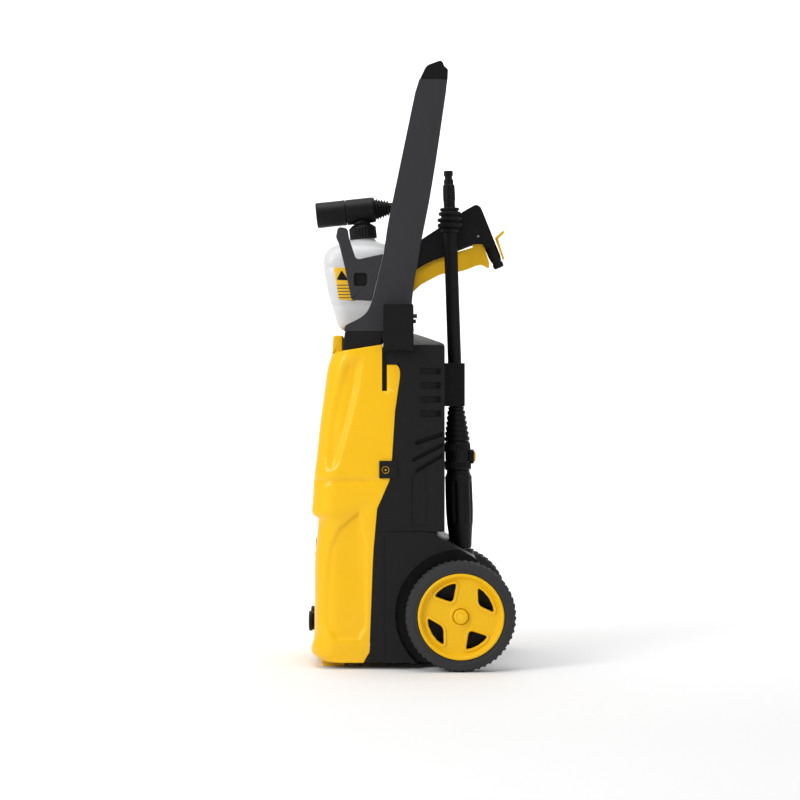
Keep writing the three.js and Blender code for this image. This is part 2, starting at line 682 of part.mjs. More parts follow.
const RIM_RADIUS = WHEEL_RADIUS - TYRE_SECTION;
const WHEEL_INNER_X = WHEEL_OUTER_X - TYRE_WIDTH;
// Windows between the broad spokes: middle angle, half opening at the rim, and inner corner radius.
const WINDOWS = [[120, 21, 24], [211, 27, 30], [301, 21, 24], [33, 25, 31]];
const WINDOW_OUTER = 46.5;

function tyre() {
  const [r, b] = [WHEEL_RADIUS, RIM_RADIUS + RUNNING];
  return turned([
    [b, 1], [r - 4, 0], [r, 4], [r, TYRE_WIDTH - 4], [r - 4, TYRE_WIDTH], [b, TYRE_WIDTH - 1], [b, 1],
  ], [WHEEL_INNER_X, 0, 0], [1, 0, 0], WHEEL_SIDES);
}

function rim() {
  const bore = AXLE_RADIUS + RUNNING;
  const [dish, web] = [TYRE_WIDTH - 8, TYRE_WIDTH - 13];
  const disc = turned([
    [bore, 0], [HUB_RADIUS - 3, 0], [HUB_RADIUS, web], [RIM_RADIUS - 7, web], [RIM_RADIUS - 4, 3],
    [RIM_RADIUS, 3],
    [RIM_RADIUS, TYRE_WIDTH - 1], [RIM_RADIUS - 5, TYRE_WIDTH - 1], [RIM_RADIUS - 8, dish],
    [CAP_SEAT, dish],
    [CAP_SEAT, dish - 3], [bore, dish - 3], [bore, 0],
  ], [WHEEL_INNER_X, 0, 0], [1, 0, 0], WHEEL_SIDES);
  const windows = WINDOWS.map(([middle, halfOpening, inner]) => {
    const corner = (radius, degrees, round) => {
      const angle = THREE.MathUtils.degToRad(degrees);
      return [radius * Math.cos(angle), radius * Math.sin(angle), round];
    };
    const arc = [-1, -0.5, 0, 0.5, 1].map((share) => corner(
      WINDOW_OUTER, middle + share * halfOpening, Math.abs(share) === 1 ? 6 : 0,
    ));
    return slab([...arc, corner(inner, middle, 10)], "x", WHEEL_INNER_X - 1, WHEEL_OUTER_X + 1, 3);
  });
  return cut(disc, ...windows);
}

// A snap-in cap over the end of the axle, and the push-on ring that holds the wheel.
const CAP_SEAT = 11;

function hubCap() {
  return turned([
    [0, 0], [CAP_SEAT - SEAM, 0], [CAP_SEAT - SEAM, 6], [CAP_SEAT - 2, 8], [0, 8.6],
  ], [WHEEL_OUTER_X - 10.4, 0, 0], [1, 0, 0], ROUND_SIDES);
}

function placeWheel(side, name) {
  const wheel = new THREE.Group();
  wheel.position.set(0, AXLE_Y, AXLE_Z);
  washer.add(wheel);
  const facing = (piece) => (side > 0 ? piece : mirrored(piece));
  place("tyre_" + name, facing(tyre()), RUBBER, wheel);
  place("rim_" + name, facing(rim()), RIM_YELLOW, wheel);
  place("hub_cap_" + name, facing(hubCap()), RIM_YELLOW, wheel);
}

function axle() {
  const reach = WHEEL_OUTER_X - 11;
  const collar = (x) => rod(AXLE_RADIUS + 4, [x, AXLE_Y, AXLE_Z], [x + 3, AXLE_Y, AXLE_Z]);
  const stop = ARCH_HALF + 4;
  return join(
    rod(AXLE_RADIUS, [-reach, AXLE_Y, AXLE_Z], [reach, AXLE_Y, AXLE_Z]),
    collar(stop),
    collar(-stop - 3),
  );
}

placePair("handle_arm", handleArm(), HANDLE_GREY, handle);
place("handle_grip", handleGrip(), DEEP_BLACK, handle);
placePair("cradle_plate", cradlePlate(), HANDLE_GREY, handle);
place("cradle_floor", cradleFloor(), BLACK, handle);
placePair("cord_hook", cordHook(), DEEP_BLACK, handle);
place("axle", axle(), STEEL);
placeWheel(1, "left");
placeWheel(-1, "right");

// ---- Front switch and water connectors ----

function switchBezel() {
  return turned(
    [
      [KNOB_RADIUS + 1, 0], [BEZEL_RADIUS, 0], [BEZEL_RADIUS, 9.6], [BEZEL_RADIUS - 2, 11],
      [KNOB_RADIUS + 1, 9], [KNOB_RADIUS + 1, 0],
    ],
    [0, -128, SWITCH_Z], [0, -1, 0],
  );
}

function switchKnob() {
  const disc = turned(
    [[0, 0], [KNOB_RADIUS, 0], [KNOB_RADIUS, 5], [KNOB_RADIUS - 1.5, 6.5], [0, 6.5]],
    [0, -130, SWITCH_Z], [0, -1, 0],
  );
  const grip = slab([
    [-KNOB_RADIUS + 2, SWITCH_Z - 4.5, 4], [KNOB_RADIUS - 2, SWITCH_Z - 4.5, 4],
    [KNOB_RADIUS - 2, SWITCH_Z + 4.5, 4], [-KNOB_RADIUS + 2, SWITCH_Z + 4.5, 4],
  ], "y", -141, -135);
  return join(disc, grip);
}

function switchBox() {
  const body = box(-20, 20, -127.6, -100, SWITCH_Z - 20, SWITCH_Z + 20);
  return join(
    body,
    box(-6, -2, -101, -92, SWITCH_Z - 8, SWITCH_Z + 8),
    box(2, 6, -101, -92, SWITCH_Z - 8, SWITCH_Z + 8),
  );
}

// A threaded connector through the cover, with a blind socket that the hose end enters.
function connector(x, throat) {
  const length = -128 - CONNECTOR_FRONT_Y;
  const r = CONNECTOR_RADIUS;
  return turned([
    [0, -6], [r - 5, -6], [r - 5, 0], [r, 0], [r, length - 6], [r - 1, length - 5], [r, length - 4],
    [r, length - 1], [r - 1, length], [throat, length], [throat, length - 16], [0, length - 16],
  ], [x, -128, CONNECTOR_Z], [0, -1, 0]);
}

function waterTube(x) {
  return rod(8, [x, -121.6, CONNECTOR_Z], [x, PUMP_Y - HEAD_DEPTH / 2 - SEAM, CONNECTOR_Z], 12);
}

// ---- Motor and pump ----

const HEAD_DEPTH = 68;
const HEAD_HALF = 48;

function pumpHead() {
  const [front, rear] = [PUMP_Y - HEAD_DEPTH / 2, PUMP_Y + HEAD_DEPTH / 2];
  const block = box(-HEAD_HALF, HEAD_HALF, front, rear, HEAD_FLOOR_Z, HEAD_TOP_Z);
  const legs = [-1, 1].map((side) => {
    const [a, b] = [side * 30, side * 46].sort((p, q) => p - q);
    return box(a, b, front + 14, rear - 8, UNDERSIDE_Z + 4.8, HEAD_FLOOR_Z + 1);
  });
  const valves = [-30, 0, 30].map((x) => rod(7, [x, rear - 1, 65], [x, rear + 6, 65], 6));
  return join(block, ...legs, ...valves);
}

function pistonPlaces() {
  return Array.from({ length: PISTON_COUNT }, (unused, i) => {
    const angle = (i / PISTON_COUNT) * 2 * Math.PI;
    return [PISTON_CIRCLE * Math.cos(angle), PUMP_Y + PISTON_CIRCLE * Math.sin(angle)];
  });
}

function pumpBody() {
  const cup = turned([
    [0, HEAD_TOP_Z + SEAM], [PUMP_RADIUS, HEAD_TOP_Z + SEAM], [PUMP_RADIUS, PUMP_TOP_Z],
    [CHAMBER_RADIUS, PUMP_TOP_Z], [CHAMBER_RADIUS, CHAMBER_FLOOR_Z], [0, CHAMBER_FLOOR_Z],
  ], [0, PUMP_Y, 0]);
  const bores = pistonPlaces().map(([x, y]) => rod(
    PISTON_RADIUS + RUNNING, [x, y, 110], [x, y, CHAMBER_FLOOR_Z + 1], 16,
  ));
  return cut(cup, ...bores);
}

const SWASH_LOW_Z = 185;
const SWASH_TOP_Z = 205;

function swashPlate() {
  const reach = CHAMBER_RADIUS - 4;
  const disc = rod(reach, [0, PUMP_Y, SWASH_LOW_Z], [0, PUMP_Y, SWASH_TOP_Z]);
  const slope = slab(
    [
      [PUMP_Y - reach - 1, SWASH_LOW_Z - 5], [PUMP_Y + reach + 1, SWASH_LOW_Z - 5],
      [PUMP_Y + reach + 1, SWASH_LOW_Z + 11], [PUMP_Y - reach + 6, SWASH_LOW_Z],
    ],
    "x", -50, 50,
  );
  return cut(disc, slope);
}

function piston([x, y]) {
  return rod(PISTON_RADIUS, [x, y, 112], [x, y, SWASH_LOW_Z - 2 * RUNNING], 16);
}

const MOTOR_FLOOR_Z = PUMP_TOP_Z + SEAM;
const MOTOR_TOP_Z = MOTOR_FLOOR_Z + MOTOR_LENGTH;
const END_PLATE = 7;

function motorBody() {
  const shaftHole = SHAFT_RADIUS + 2 * RUNNING;
  const bore = ROTOR_RADIUS + 0.7;
  const [low, high] = [MOTOR_FLOOR_Z, MOTOR_TOP_Z];
  return turned([
    [shaftHole, low], [MOTOR_RADIUS - 6, low], [MOTOR_RADIUS - 6, low + 8], [MOTOR_RADIUS, low + 8],
    [MOTOR_RADIUS, high - 8], [MOTOR_RADIUS - 6, high - 8], [MOTOR_RADIUS - 6, high], [shaftHole, high],
    [shaftHole, high - END_PLATE], [bore, high - END_PLATE], [bore, low + END_PLATE],
    [shaftHole, low + END_PLATE],
    [shaftHole, low],
  ], [0, PUMP_Y, 0]);
}

const SHAFT_TOP_Z = MOTOR_TOP_Z + 22;

function rotorShaft() {
  const [coreLow, coreHigh] = [MOTOR_FLOOR_Z + END_PLATE + 4, MOTOR_TOP_Z - END_PLATE - 4];
  return turned([
    [0, SWASH_TOP_Z + SEAM], [SHAFT_RADIUS, SWASH_TOP_Z + SEAM], [SHAFT_RADIUS, coreLow],
    [ROTOR_RADIUS, coreLow],
    [ROTOR_RADIUS, coreHigh], [SHAFT_RADIUS, coreHigh], [SHAFT_RADIUS, SHAFT_TOP_Z], [0, SHAFT_TOP_Z],
  ], [0, PUMP_Y, 0]);
}

function coolingFan() {
  const floor = MOTOR_TOP_Z + 4;
  const disc = turned([
    [SHAFT_RADIUS + RUNNING, floor], [FAN_RADIUS, floor], [FAN_RADIUS, floor + 2], [12, floor + 2],
    [11, floor + 16],
    [SHAFT_RADIUS + RUNNING, floor + 16], [SHAFT_RADIUS + RUNNING, floor],
  ], [0, PUMP_Y, 0]);
  const blades = Array.from({ length: FAN_BLADES }, (unused, i) => {
    const blade = new THREE.BoxGeometry(FAN_RADIUS - 12, 1.6, 14);
    blade.translate((FAN_RADIUS + 10) / 2, 0, floor + 8);
    blade.rotateZ((i / FAN_BLADES) * 2 * Math.PI);
    return solid(blade.translate(0, PUMP_Y, 0));
  });
  return join(disc, ...blades);
}

place("switch_bezel", switchBezel(), BLACK);
place("switch_knob", switchKnob(), RIM_YELLOW);
place("switch_box", switchBox(), DEEP_BLACK);
place("outlet_connector", connector(CONNECTOR_X, SOCKET_RADIUS), DEEP_BLACK);
place("inlet_connector", connector(-CONNECTOR_X, SOCKET_RADIUS), DEEP_BLACK);
place("outlet_tube", waterTube(CONNECTOR_X), DEEP_BLACK);
place("inlet_tube", waterTube(-CONNECTOR_X), DEEP_BLACK);
place("pump_head", pumpHead(), ALUMINIUM);
place("pump_body", pumpBody(), ALUMINIUM);
place("swash_plate", swashPlate(), STEEL);
pistonPlaces().forEach((spot, i) => place("piston_" + (i + 1), piston(spot), STEEL));
place("motor_body", motorBody(), COPPER_BROWN);
place("rotor_shaft", rotorShaft(), STEEL);
place("cooling_fan", coolingFan(), DEEP_BLACK);

// ---- Foam bottle ----

function bottleBlock(inset) {
  const side = [
    [-106 + inset, BOTTLE_FLOOR_Z + inset, 10], [-119 + inset, 531], [BOTTLE_FRONT_Y + inset, 588, 12],
    [-109, BOTTLE_SHOULDER_Z - 8 - inset, 8], [NECK_Y - NECK_RADIUS, BOTTLE_SHOULDER_Z - inset],
    [NECK_Y + NECK_RADIUS, BOTTLE_SHOULDER_Z - inset], [-38, BOTTLE_SHOULDER_Z - 2 - inset, 8],
    [BOTTLE_REAR_Y - inset, 596, 12], [-26 - inset, 520], [-30 - inset, BOTTLE_FLOOR_Z + inset, 12],
  ];
  const half = BOTTLE_HALF - inset;
  const front = [
    [-half + 3, BOTTLE_FLOOR_Z + inset, 10], [half - 3, BOTTLE_FLOOR_Z + inset, 10],
    [half, BOTTLE_SHOULDER_Z - 22, 16], [22, BOTTLE_SHOULDER_Z + 2 - inset, 10],
    [-22, BOTTLE_SHOULDER_Z + 2 - inset, 10], [-half, BOTTLE_SHOULDER_Z - 22, 16],
  ];
  return slab(side, "x", -half, half, 3).intersect(slab(front, "y", BOTTLE_FRONT_Y - 2, 0, 3));
}

// The neck axis leans forward with the bottle; heights along it start at the shoulder.
const NECK_FOOT = [0, NECK_Y, BOTTLE_SHOULDER_Z];
const NECK_AXIS = [0, -Math.sin(BOTTLE_LEAN), Math.cos(BOTTLE_LEAN)];

function foamBottle() {
  const neck = turned(
    [[0, -6], [NECK_RADIUS, -6], [NECK_RADIUS, NECK_LENGTH], [0, NECK_LENGTH]],
    NECK_FOOT,
    NECK_AXIS,
  );
  const mouth = turned(
    [
      [0, -12], [NECK_RADIUS - BOTTLE_WALL, -12], [NECK_RADIUS - BOTTLE_WALL, NECK_LENGTH + 1],
      [0, NECK_LENGTH + 1],
    ],
    NECK_FOOT, NECK_AXIS,
  );
  return cut(join(bottleBlock(0), neck), bottleBlock(BOTTLE_WALL), mouth);
}

const CAP_FOOT = 2;
const CAP_TOP = CAP_FOOT + CAP_HEIGHT;
const DIP_RADIUS = 3;

function bottleCap() {
  const bore = NECK_RADIUS + SEAM;
  const roof = NECK_LENGTH + SEAM;
  return turned([
    [bore, CAP_FOOT], [CAP_RADIUS, CAP_FOOT], [CAP_RADIUS, CAP_TOP - 4], [CAP_RADIUS - 3, CAP_TOP],
    [DIP_RADIUS + SEAM, CAP_TOP], [DIP_RADIUS + SEAM, roof], [bore, roof], [bore, CAP_FOOT],
  ], NECK_FOOT, NECK_AXIS);
}

function dipTube() {
  const bottom = BOTTLE_FLOOR_Z + 8 - BOTTLE_SHOULDER_Z;
  return turned(
    [[0, bottom], [DIP_RADIUS, bottom], [DIP_RADIUS, CAP_TOP], [0, CAP_TOP]],
    NECK_FOOT,
    NECK_AXIS,
    12,
  );
}

// The foam head lies across the cap; its axis rises towards the rear by the bottle's lean.
const BARREL_FRONT = [0, -139, BARREL_FLOOR_Z + BARREL_RADIUS];
const BARREL_AXIS = [0, Math.cos(BOTTLE_LEAN), Math.sin(BOTTLE_LEAN)];

function foamBarrel() {
  const r = BARREL_RADIUS;
  return turned([
    [0, 14], [9, 14], [13, 0], [r - 1.5, 0], [r, 1.5], [r, BARREL_LENGTH], [0, BARREL_LENGTH],
  ], BARREL_FRONT, BARREL_AXIS);
}

function foamHead() {
  const r = BARREL_RADIUS;
  const start = BARREL_LENGTH + SEAM;
  const end = start + HEAD_LENGTH;
  const body = turned([
    [0, start], [r, start], [r, end], [r - 3, end + 2], [r - 3, end + 5], [r - 5, end + 5],
    [r - 5, end + 9],
    [r - 7, end + 9], [r - 7, end + 13], [8, end + 15], [8, end + 24], [6.5, end + 25],
    [6.5, end + 32], [0, end + 32],
  ], BARREL_FRONT, BARREL_AXIS);
  const stem = turned(
    [[0, CAP_TOP + SEAM], [13, CAP_TOP + SEAM], [13, CAP_TOP + 18], [0, CAP_TOP + 18]],
    NECK_FOOT,
    NECK_AXIS,
  );
  return join(body, stem);
}

place("foam_bottle", foamBottle(), MILKY);
place("bottle_cap", bottleCap(), DEEP_BLACK);
place("dip_tube", dipTube(), MILKY);
place("foam_barrel", foamBarrel(), DEEP_BLACK);
place("foam_head", foamHead(), DEEP_BLACK);

// ---- Lance ----

const lance = new THREE.Group();
lance.position.set(LANCE_X, LANCE_END_Y, LANCE_END_Z);
lance.rotation.x = LANCE_LEAN;
washer.add(lance);

// Heights along the lance at which its pieces meet.
const SELECTOR_FOOT = SLEEVE_LENGTH + SEAM;
const CONE_FOOT = SELECTOR_FOOT + SELECTOR_LENGTH + SEAM;
const PIPE_FOOT = CONE_FOOT + CONE_LENGTH + SEAM;
const COLLAR_FOOT = PIPE_FOOT + PIPE_LENGTH + SEAM;
const PLUG_FOOT = COLLAR_FOOT + COLLAR_LENGTH + SEAM;

function nozzleSleeve() {
  const r = SLEEVE_RADIUS;
  return turned([
    [0, 26], [11, 26], [11, 0], [r - 5, 0], [r, 36], [r, SLEEVE_LENGTH - 7], [r - 3.4, SLEEVE_LENGTH - 6],
    [r - 3.4, SLEEVE_LENGTH], [0, SLEEVE_LENGTH],
  ]);
}

function selectorRing() {
  const [r, low] = [SELECTOR_RADIUS, SELECTOR_FOOT];
  const hub = turned([
    [0, low], [r, low], [r, low + 39], [r - 2, low + SELECTOR_LENGTH], [0, low + SELECTOR_LENGTH],
  ]);
  const knob = rod(11, [0, r - 3, low + 19], [0, r + 7, low + 19], 16);
  return join(hub, knob);
}

function lanceCone() {
  const low = CONE_FOOT;
  const [wide, narrow, ribs] = [18.4, 11.8, 4];
  const profile = [[0, low]];
  for (let i = 0; i < ribs; i += 1) {
    const radius = wide - ((wide - narrow) * i) / ribs;
    const foot = low + (CONE_LENGTH * i) / ribs;
    profile.push([radius, foot], [radius, foot + 7], [radius - 1.8, foot + 8.5]);
  }
  profile.push([narrow - 1, low + CONE_LENGTH], [0, low + CONE_LENGTH]);
  return turned(profile);
}

function lancePipe() {
  return turned([
    [0, PIPE_FOOT], [PIPE_RADIUS, PIPE_FOOT], [PIPE_RADIUS, PIPE_FOOT + PIPE_LENGTH],
    [0, PIPE_FOOT + PIPE_LENGTH],
  ]);
}

function lanceCollar() {
  const low = COLLAR_FOOT;
  return turned([
    [0, low], [13.4, low], [13.4, low + 7], [18.5, low + 9], [18.5, low + 20], [14.2, low + 22],
    [14.2, low + COLLAR_LENGTH],
    [0, low + COLLAR_LENGTH],
  ]);
}

function lancePlug() {
  const low = PLUG_FOOT;
  const plug = turned([
    [0, low], [8.4, low], [9, low + 32], [7, low + 34], [7, low + 41], [5.5, low + 42], [5.5, low + 46],
    [6.7, low + 47], [6.7, low + PLUG_LENGTH], [3, low + PLUG_LENGTH], [3, low + PLUG_LENGTH - 8],
    [0, low + PLUG_LENGTH - 8],
  ]);
  return join(plug, box(-12, 12, -3, 3, low + 14, low + 20));
}

// The peg on the base that keeps the nozzle end in place.
function lancePeg() {
  const foot = STAND_TOP_Z + SEAM;
  return rod(PEG_RADIUS, [LANCE_X, LANCE_END_Y, foot], [LANCE_X, LANCE_END_Y, foot + 16], 16);
}

// The U-shaped clip on the rear shell, open to the rear.
function lanceClip() {
  const room = PIPE_RADIUS + 2.8;
  const outer = room + CLIP_WALL;
  const floor = REAR_FACE_Y + SEAM;
  const opening = floor + 3;
  return slab([
    [LANCE_X - outer, floor], [LANCE_X - outer, CLIP_REAR_Y, 3], [LANCE_X - room, CLIP_REAR_Y],
    [LANCE_X - room, opening, 6],
    [LANCE_X + room, opening, 6], [LANCE_X + room, CLIP_REAR_Y], [LANCE_X + outer, CLIP_REAR_Y, 3],
    [LANCE_X + outer, floor],
  ], "z", CLIP_BOTTOM_Z, CLIP_TOP_Z, 5);
}

place("nozzle_sleeve", nozzleSleeve(), DEEP_BLACK, lance);
place("selector_ring", selectorRing(), DEEP_BLACK, lance);
place("lance_cone", lanceCone(), DEEP_BLACK, lance);
place("lance_pipe", lancePipe(), DEEP_BLACK, lance);
place("lance_collar", lanceCollar(), DEEP_BLACK, lance);
place("lance_plug", lancePlug(), DEEP_BLACK, lance);
place("lance_peg", lancePeg(), BLACK);
place("lance_clip", lanceClip(), DEEP_BLACK);

// ---- Trigger gun ----

const GUN_FRONT_Y = -14;
const GUN_FLOOR_Z = 566;
// The edge between the black body and the yellow trigger, from the gun's front end to the barrel.
const TRIGGER_TOP = [[9, 575], [28.5, 587], [48, 593], [71, 604], [92, 612], [105.5, 612]];

function gunBody() {
  const side = [
    [GUN_FRONT_Y, GUN_FLOOR_Z], [GUN_FRONT_Y, 602, 8], [17, 620], [43, 637], [73, 658, 20],
    [97, 671.5, 5], [104, 667, 4],
    [126, 612], [111, 605.5], [105.5, 612.5], ...TRIGGER_TOP.slice(0, -1).reverse(),
  ];
  const body = slab(side, "x", -GUN_HALF, GUN_HALF);
  const room = TRIGGER_HALF + RUNNING;
  const hollow = slab([
    [GUN_FRONT_Y + 4, 540], [GUN_FRONT_Y + 4, 598], [17, 613], [43, 629], [60, 638], [108, 638],
    [112, 612], [119, 590],
    [90, 590],
  ], "x", -room, room);
  const pinHole = rod(
    TRIGGER_PIN_RADIUS + 0.2, [
      -GUN_HALF - 1, TRIGGER_PIVOT_Y, TRIGGER_PIVOT_Z,
    ], [GUN_HALF + 1, TRIGGER_PIVOT_Y, TRIGGER_PIVOT_Z], 12,
  );
  return cut(body, hollow, pinHole);
}

// The trigger lever hangs under the body and swings up into it.
function gunTrigger() {
  const [y, z] = [TRIGGER_PIVOT_Y, TRIGGER_PIVOT_Z];
  const top = [
    [3, 566, 3], [9, 577], [48, 595], [y - 8, 608], [y - 6, z + 6, 5], [y + 6, z + 6, 5],
    [y + 8, 612],
  ];
  const bottom = [
    [110.5, 604], [116.5, 586], [116.5, 576, 4], [104, 584, 10], [78, 573, 10], [48, 570, 10],
    [32, 562], [15.5, 553],
    [2.5, 541, 3],
  ];
  const lever = slab([...top, ...bottom], "x", -TRIGGER_HALF, TRIGGER_HALF);
  const pinHole = rod(
    TRIGGER_PIN_RADIUS + RUNNING, [
      -GUN_HALF, TRIGGER_PIVOT_Y, TRIGGER_PIVOT_Z,
    ], [GUN_HALF, TRIGGER_PIVOT_Y, TRIGGER_PIVOT_Z], 12,
  );
  return cut(lever, pinHole);
}

function triggerPin() {
  const half = GUN_HALF - 1;
  return rod(
    TRIGGER_PIN_RADIUS, [-half, TRIGGER_PIVOT_Y, TRIGGER_PIVOT_Z],
    [half, TRIGGER_PIVOT_Y, TRIGGER_PIVOT_Z], 12,
  );
}

// The barrel leaves the body downwards and to the rear.
const GUN_BARREL_HEAD = [0, 119, 608.4];
const GUN_BARREL_AXIS = [0, 13, -31];

function gunBarrel() {
  const r = GUN_BARREL_RADIUS;
  return turned([
    [0, 1], [r, 1], [r, 22], [r - 1, 23], [r - 1, 25], [r, 26], [r, 31], [r - 2, 33], [4, 33],
    [4, 22], [0, 22],
  ], GUN_BARREL_HEAD, GUN_BARREL_AXIS);
}

function gunLock() {
  return slab([
    [125.5, 623, 1], [126.5, 619], [137, 590, 1], [139.5, 591, 1], [132.5, 612], [130, 621],
    [139, 629.5, 1], [138, 634, 1],
  ], "x", -7, 7);
}

const gun = new THREE.Group();
gun.position.set(GUN_X, 0, 0);
washer.add(gun);
place("gun_body", gunBody(), DEEP_BLACK, gun);
place("gun_trigger", gunTrigger(), YELLOW, gun);
place("trigger_pin", triggerPin(), STEEL, gun);
place("gun_barrel", gunBarrel(), DEEP_BLACK, gun);
place("gun_lock", gunLock(), YELLOW, gun);
place("gun_holder", gunHolder(), BLACK, handle);

export default washer;
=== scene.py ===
"""Looks of the upright pressure washer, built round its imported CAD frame. Metres, +Z up, -Y is the front."""

import json
import math

import bmesh
import bpy
import numpy as np
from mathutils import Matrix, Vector
from mathutils.geometry import delaunay_2d_cdt


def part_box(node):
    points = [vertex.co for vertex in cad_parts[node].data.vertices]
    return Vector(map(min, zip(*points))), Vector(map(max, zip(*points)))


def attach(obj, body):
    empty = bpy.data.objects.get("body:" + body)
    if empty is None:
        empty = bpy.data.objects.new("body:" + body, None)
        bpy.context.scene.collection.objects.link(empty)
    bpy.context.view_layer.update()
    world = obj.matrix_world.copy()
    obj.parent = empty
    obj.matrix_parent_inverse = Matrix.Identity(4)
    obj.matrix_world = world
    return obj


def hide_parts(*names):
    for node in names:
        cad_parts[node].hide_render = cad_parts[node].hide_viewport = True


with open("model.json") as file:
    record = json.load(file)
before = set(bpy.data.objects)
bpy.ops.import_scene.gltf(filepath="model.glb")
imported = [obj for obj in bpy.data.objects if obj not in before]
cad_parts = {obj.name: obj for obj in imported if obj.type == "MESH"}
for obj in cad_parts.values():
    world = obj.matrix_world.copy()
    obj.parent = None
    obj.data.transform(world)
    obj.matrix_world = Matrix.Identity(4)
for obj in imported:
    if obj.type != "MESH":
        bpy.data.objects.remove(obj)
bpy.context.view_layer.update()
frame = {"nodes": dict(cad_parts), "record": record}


# ---- Studio ----
# A pale floor that sweeps up into the backdrop, three soft lamps and a level camera on the machine's
# left side, about three metres away.
scene = bpy.context.scene
scene.view_settings.view_transform = "Standard"

CAMERA_PLACE = (2.943, -0.0155, 0.3822)
CAMERA_LENS = 89.75
camera = bpy.data.objects.new("camera", bpy.data.cameras.new("camera"))
camera.data.lens = CAMERA_LENS
camera.data.sensor_width = 36.0
camera.location = CAMERA_PLACE
camera.rotation_euler = (math.pi / 2, 0.0, math.pi / 2)
scene.collection.objects.link(camera)
scene.camera = camera

world = bpy.data.worlds.new("studio")
world.use_nodes = True
world.node_tree.nodes["Background"].inputs["Color"].default_value = (1.0, 1.0, 1.0, 1.0)
world.node_tree.nodes["Background"].inputs["Strength"].default_value = 0.42
scene.world = world


def mesh_object(name, points, faces):
    """A mesh object at the origin, from an array of points and lists of corner numbers."""
    mesh = bpy.data.meshes.new(name)
    mesh.from_pydata(np.asarray(points, float).reshape(-1, 3).tolist(), [],
        [list(map(int, f)) for f in faces])
    mesh.update()
    piece = bpy.data.objects.new(name, mesh)
    scene.collection.objects.link(piece)
    return piece


def grid_faces(rows, columns, around=False):
    """Corner numbers of the quads between a grid's points; around joins its last column to the first."""
    row, column = np.meshgrid(np.arange(rows - 1), np.arange(columns if around else columns - 1),
        indexing="ij")
    start = row * columns
    nearer = (column + 1) % columns
    quads = np.stack([start + column, start + nearer, start + columns + nearer, start + columns + column], -1)
    return quads.reshape(-1, 4)


def studio_sweep():
    """A flat floor in front, a quarter circle of 2 m radius, then an upright wall, carried along Y."""
    turn = np.linspace(0, math.pi / 2, 24)
    along = np.concatenate([[6.0], -6.0 - 2.0 * np.sin(turn), [-8.0]])
    height = np.concatenate([[0.0], 2.0 - 2.0 * np.cos(turn), [9.0]])
    width = np.array([-9.0, 9.0])
    points = np.stack(np.broadcast_arrays(along[:, None], width[None, :], height[:, None]), -1)
    return mesh_object("studio_sweep", points, grid_faces(len(along), 2))


def soft_lamp(name, place, target, size, watts):
    """A rectangular area lamp that faces a target point."""
    lamp = bpy.data.lights.new(name, "AREA")
    lamp.shape = "RECTANGLE"
    lamp.size, lamp.size_y = size
    lamp.energy = watts
    lamp_object = bpy.data.objects.new(name, lamp)
    lamp_object.location = place
    lamp_object.rotation_euler = (Vector(target) - Vector(place)).to_track_quat("-Z", "Y").to_euler()
    scene.collection.objects.link(lamp_object)


sweep = studio_sweep()
sweep_paint = bpy.data.materials.new("pale_floor")
sweep_paint.use_nodes = True
sweep_paint.node_tree.nodes["Principled BSDF"].inputs["Base Color"].default_value = (0.92, 0.92, 0.92, 1.0)
sweep_paint.node_tree.nodes["Principled BSDF"].inputs["Roughness"].default_value = 0.9
sweep.data.materials.append(sweep_paint)

soft_lamp("front_lamp", (2.4, -2.6, 2.0), (0.0, -0.05, 0.4), (1.2, 1.8), 72.0)
soft_lamp("rear_lamp", (2.6, 2.2, 1.4), (0.0, 0.05, 0.45), (1.0, 1.8), 7.0)
soft_lamp("top_lamp", (0.4, -0.2, 3.0), (0.0, 0.0, 0.4), (2.0, 2.0), 36.0)
soft_lamp("backdrop_lamp", (-2.5, 0.0, 4.5), (-7.5, 0.0, 1.0), (5.0, 2.0), 420.0)


# ---- Moulded plastics, rubber and metals ----
# The shells are injection-moulded ABS with a fine spark-eroded grain; gloss parts are polished. Each finish
# varies a little in colour, roughness and relief, with dulled spots and paler edges, partly rubbed and partly
# a painted edge highlight, which show most on the yellow parts.
class Wire:
    """A number that flows through a material; arithmetic on it adds Math nodes."""

    def __init__(self, board, socket):
        self.board = board
        self.socket = socket

    def math(self, operation, first, second):
        return self.board.node("ShaderNodeMath", {"operation": operation}, {0: first, 1: second})

    def __add__(self, other):
        return self.math("ADD", self, other)

    __radd__ = __add__

    def __rsub__(self, other):
        return self.math("SUBTRACT", other, self)

    def __mul__(self, other):
        return self.math("MULTIPLY", self, other)

    __rmul__ = __mul__

    def clipped(self):
        """The number held between 0 and 1."""
        return self.board.node("ShaderNodeClamp", {}, {0: self})


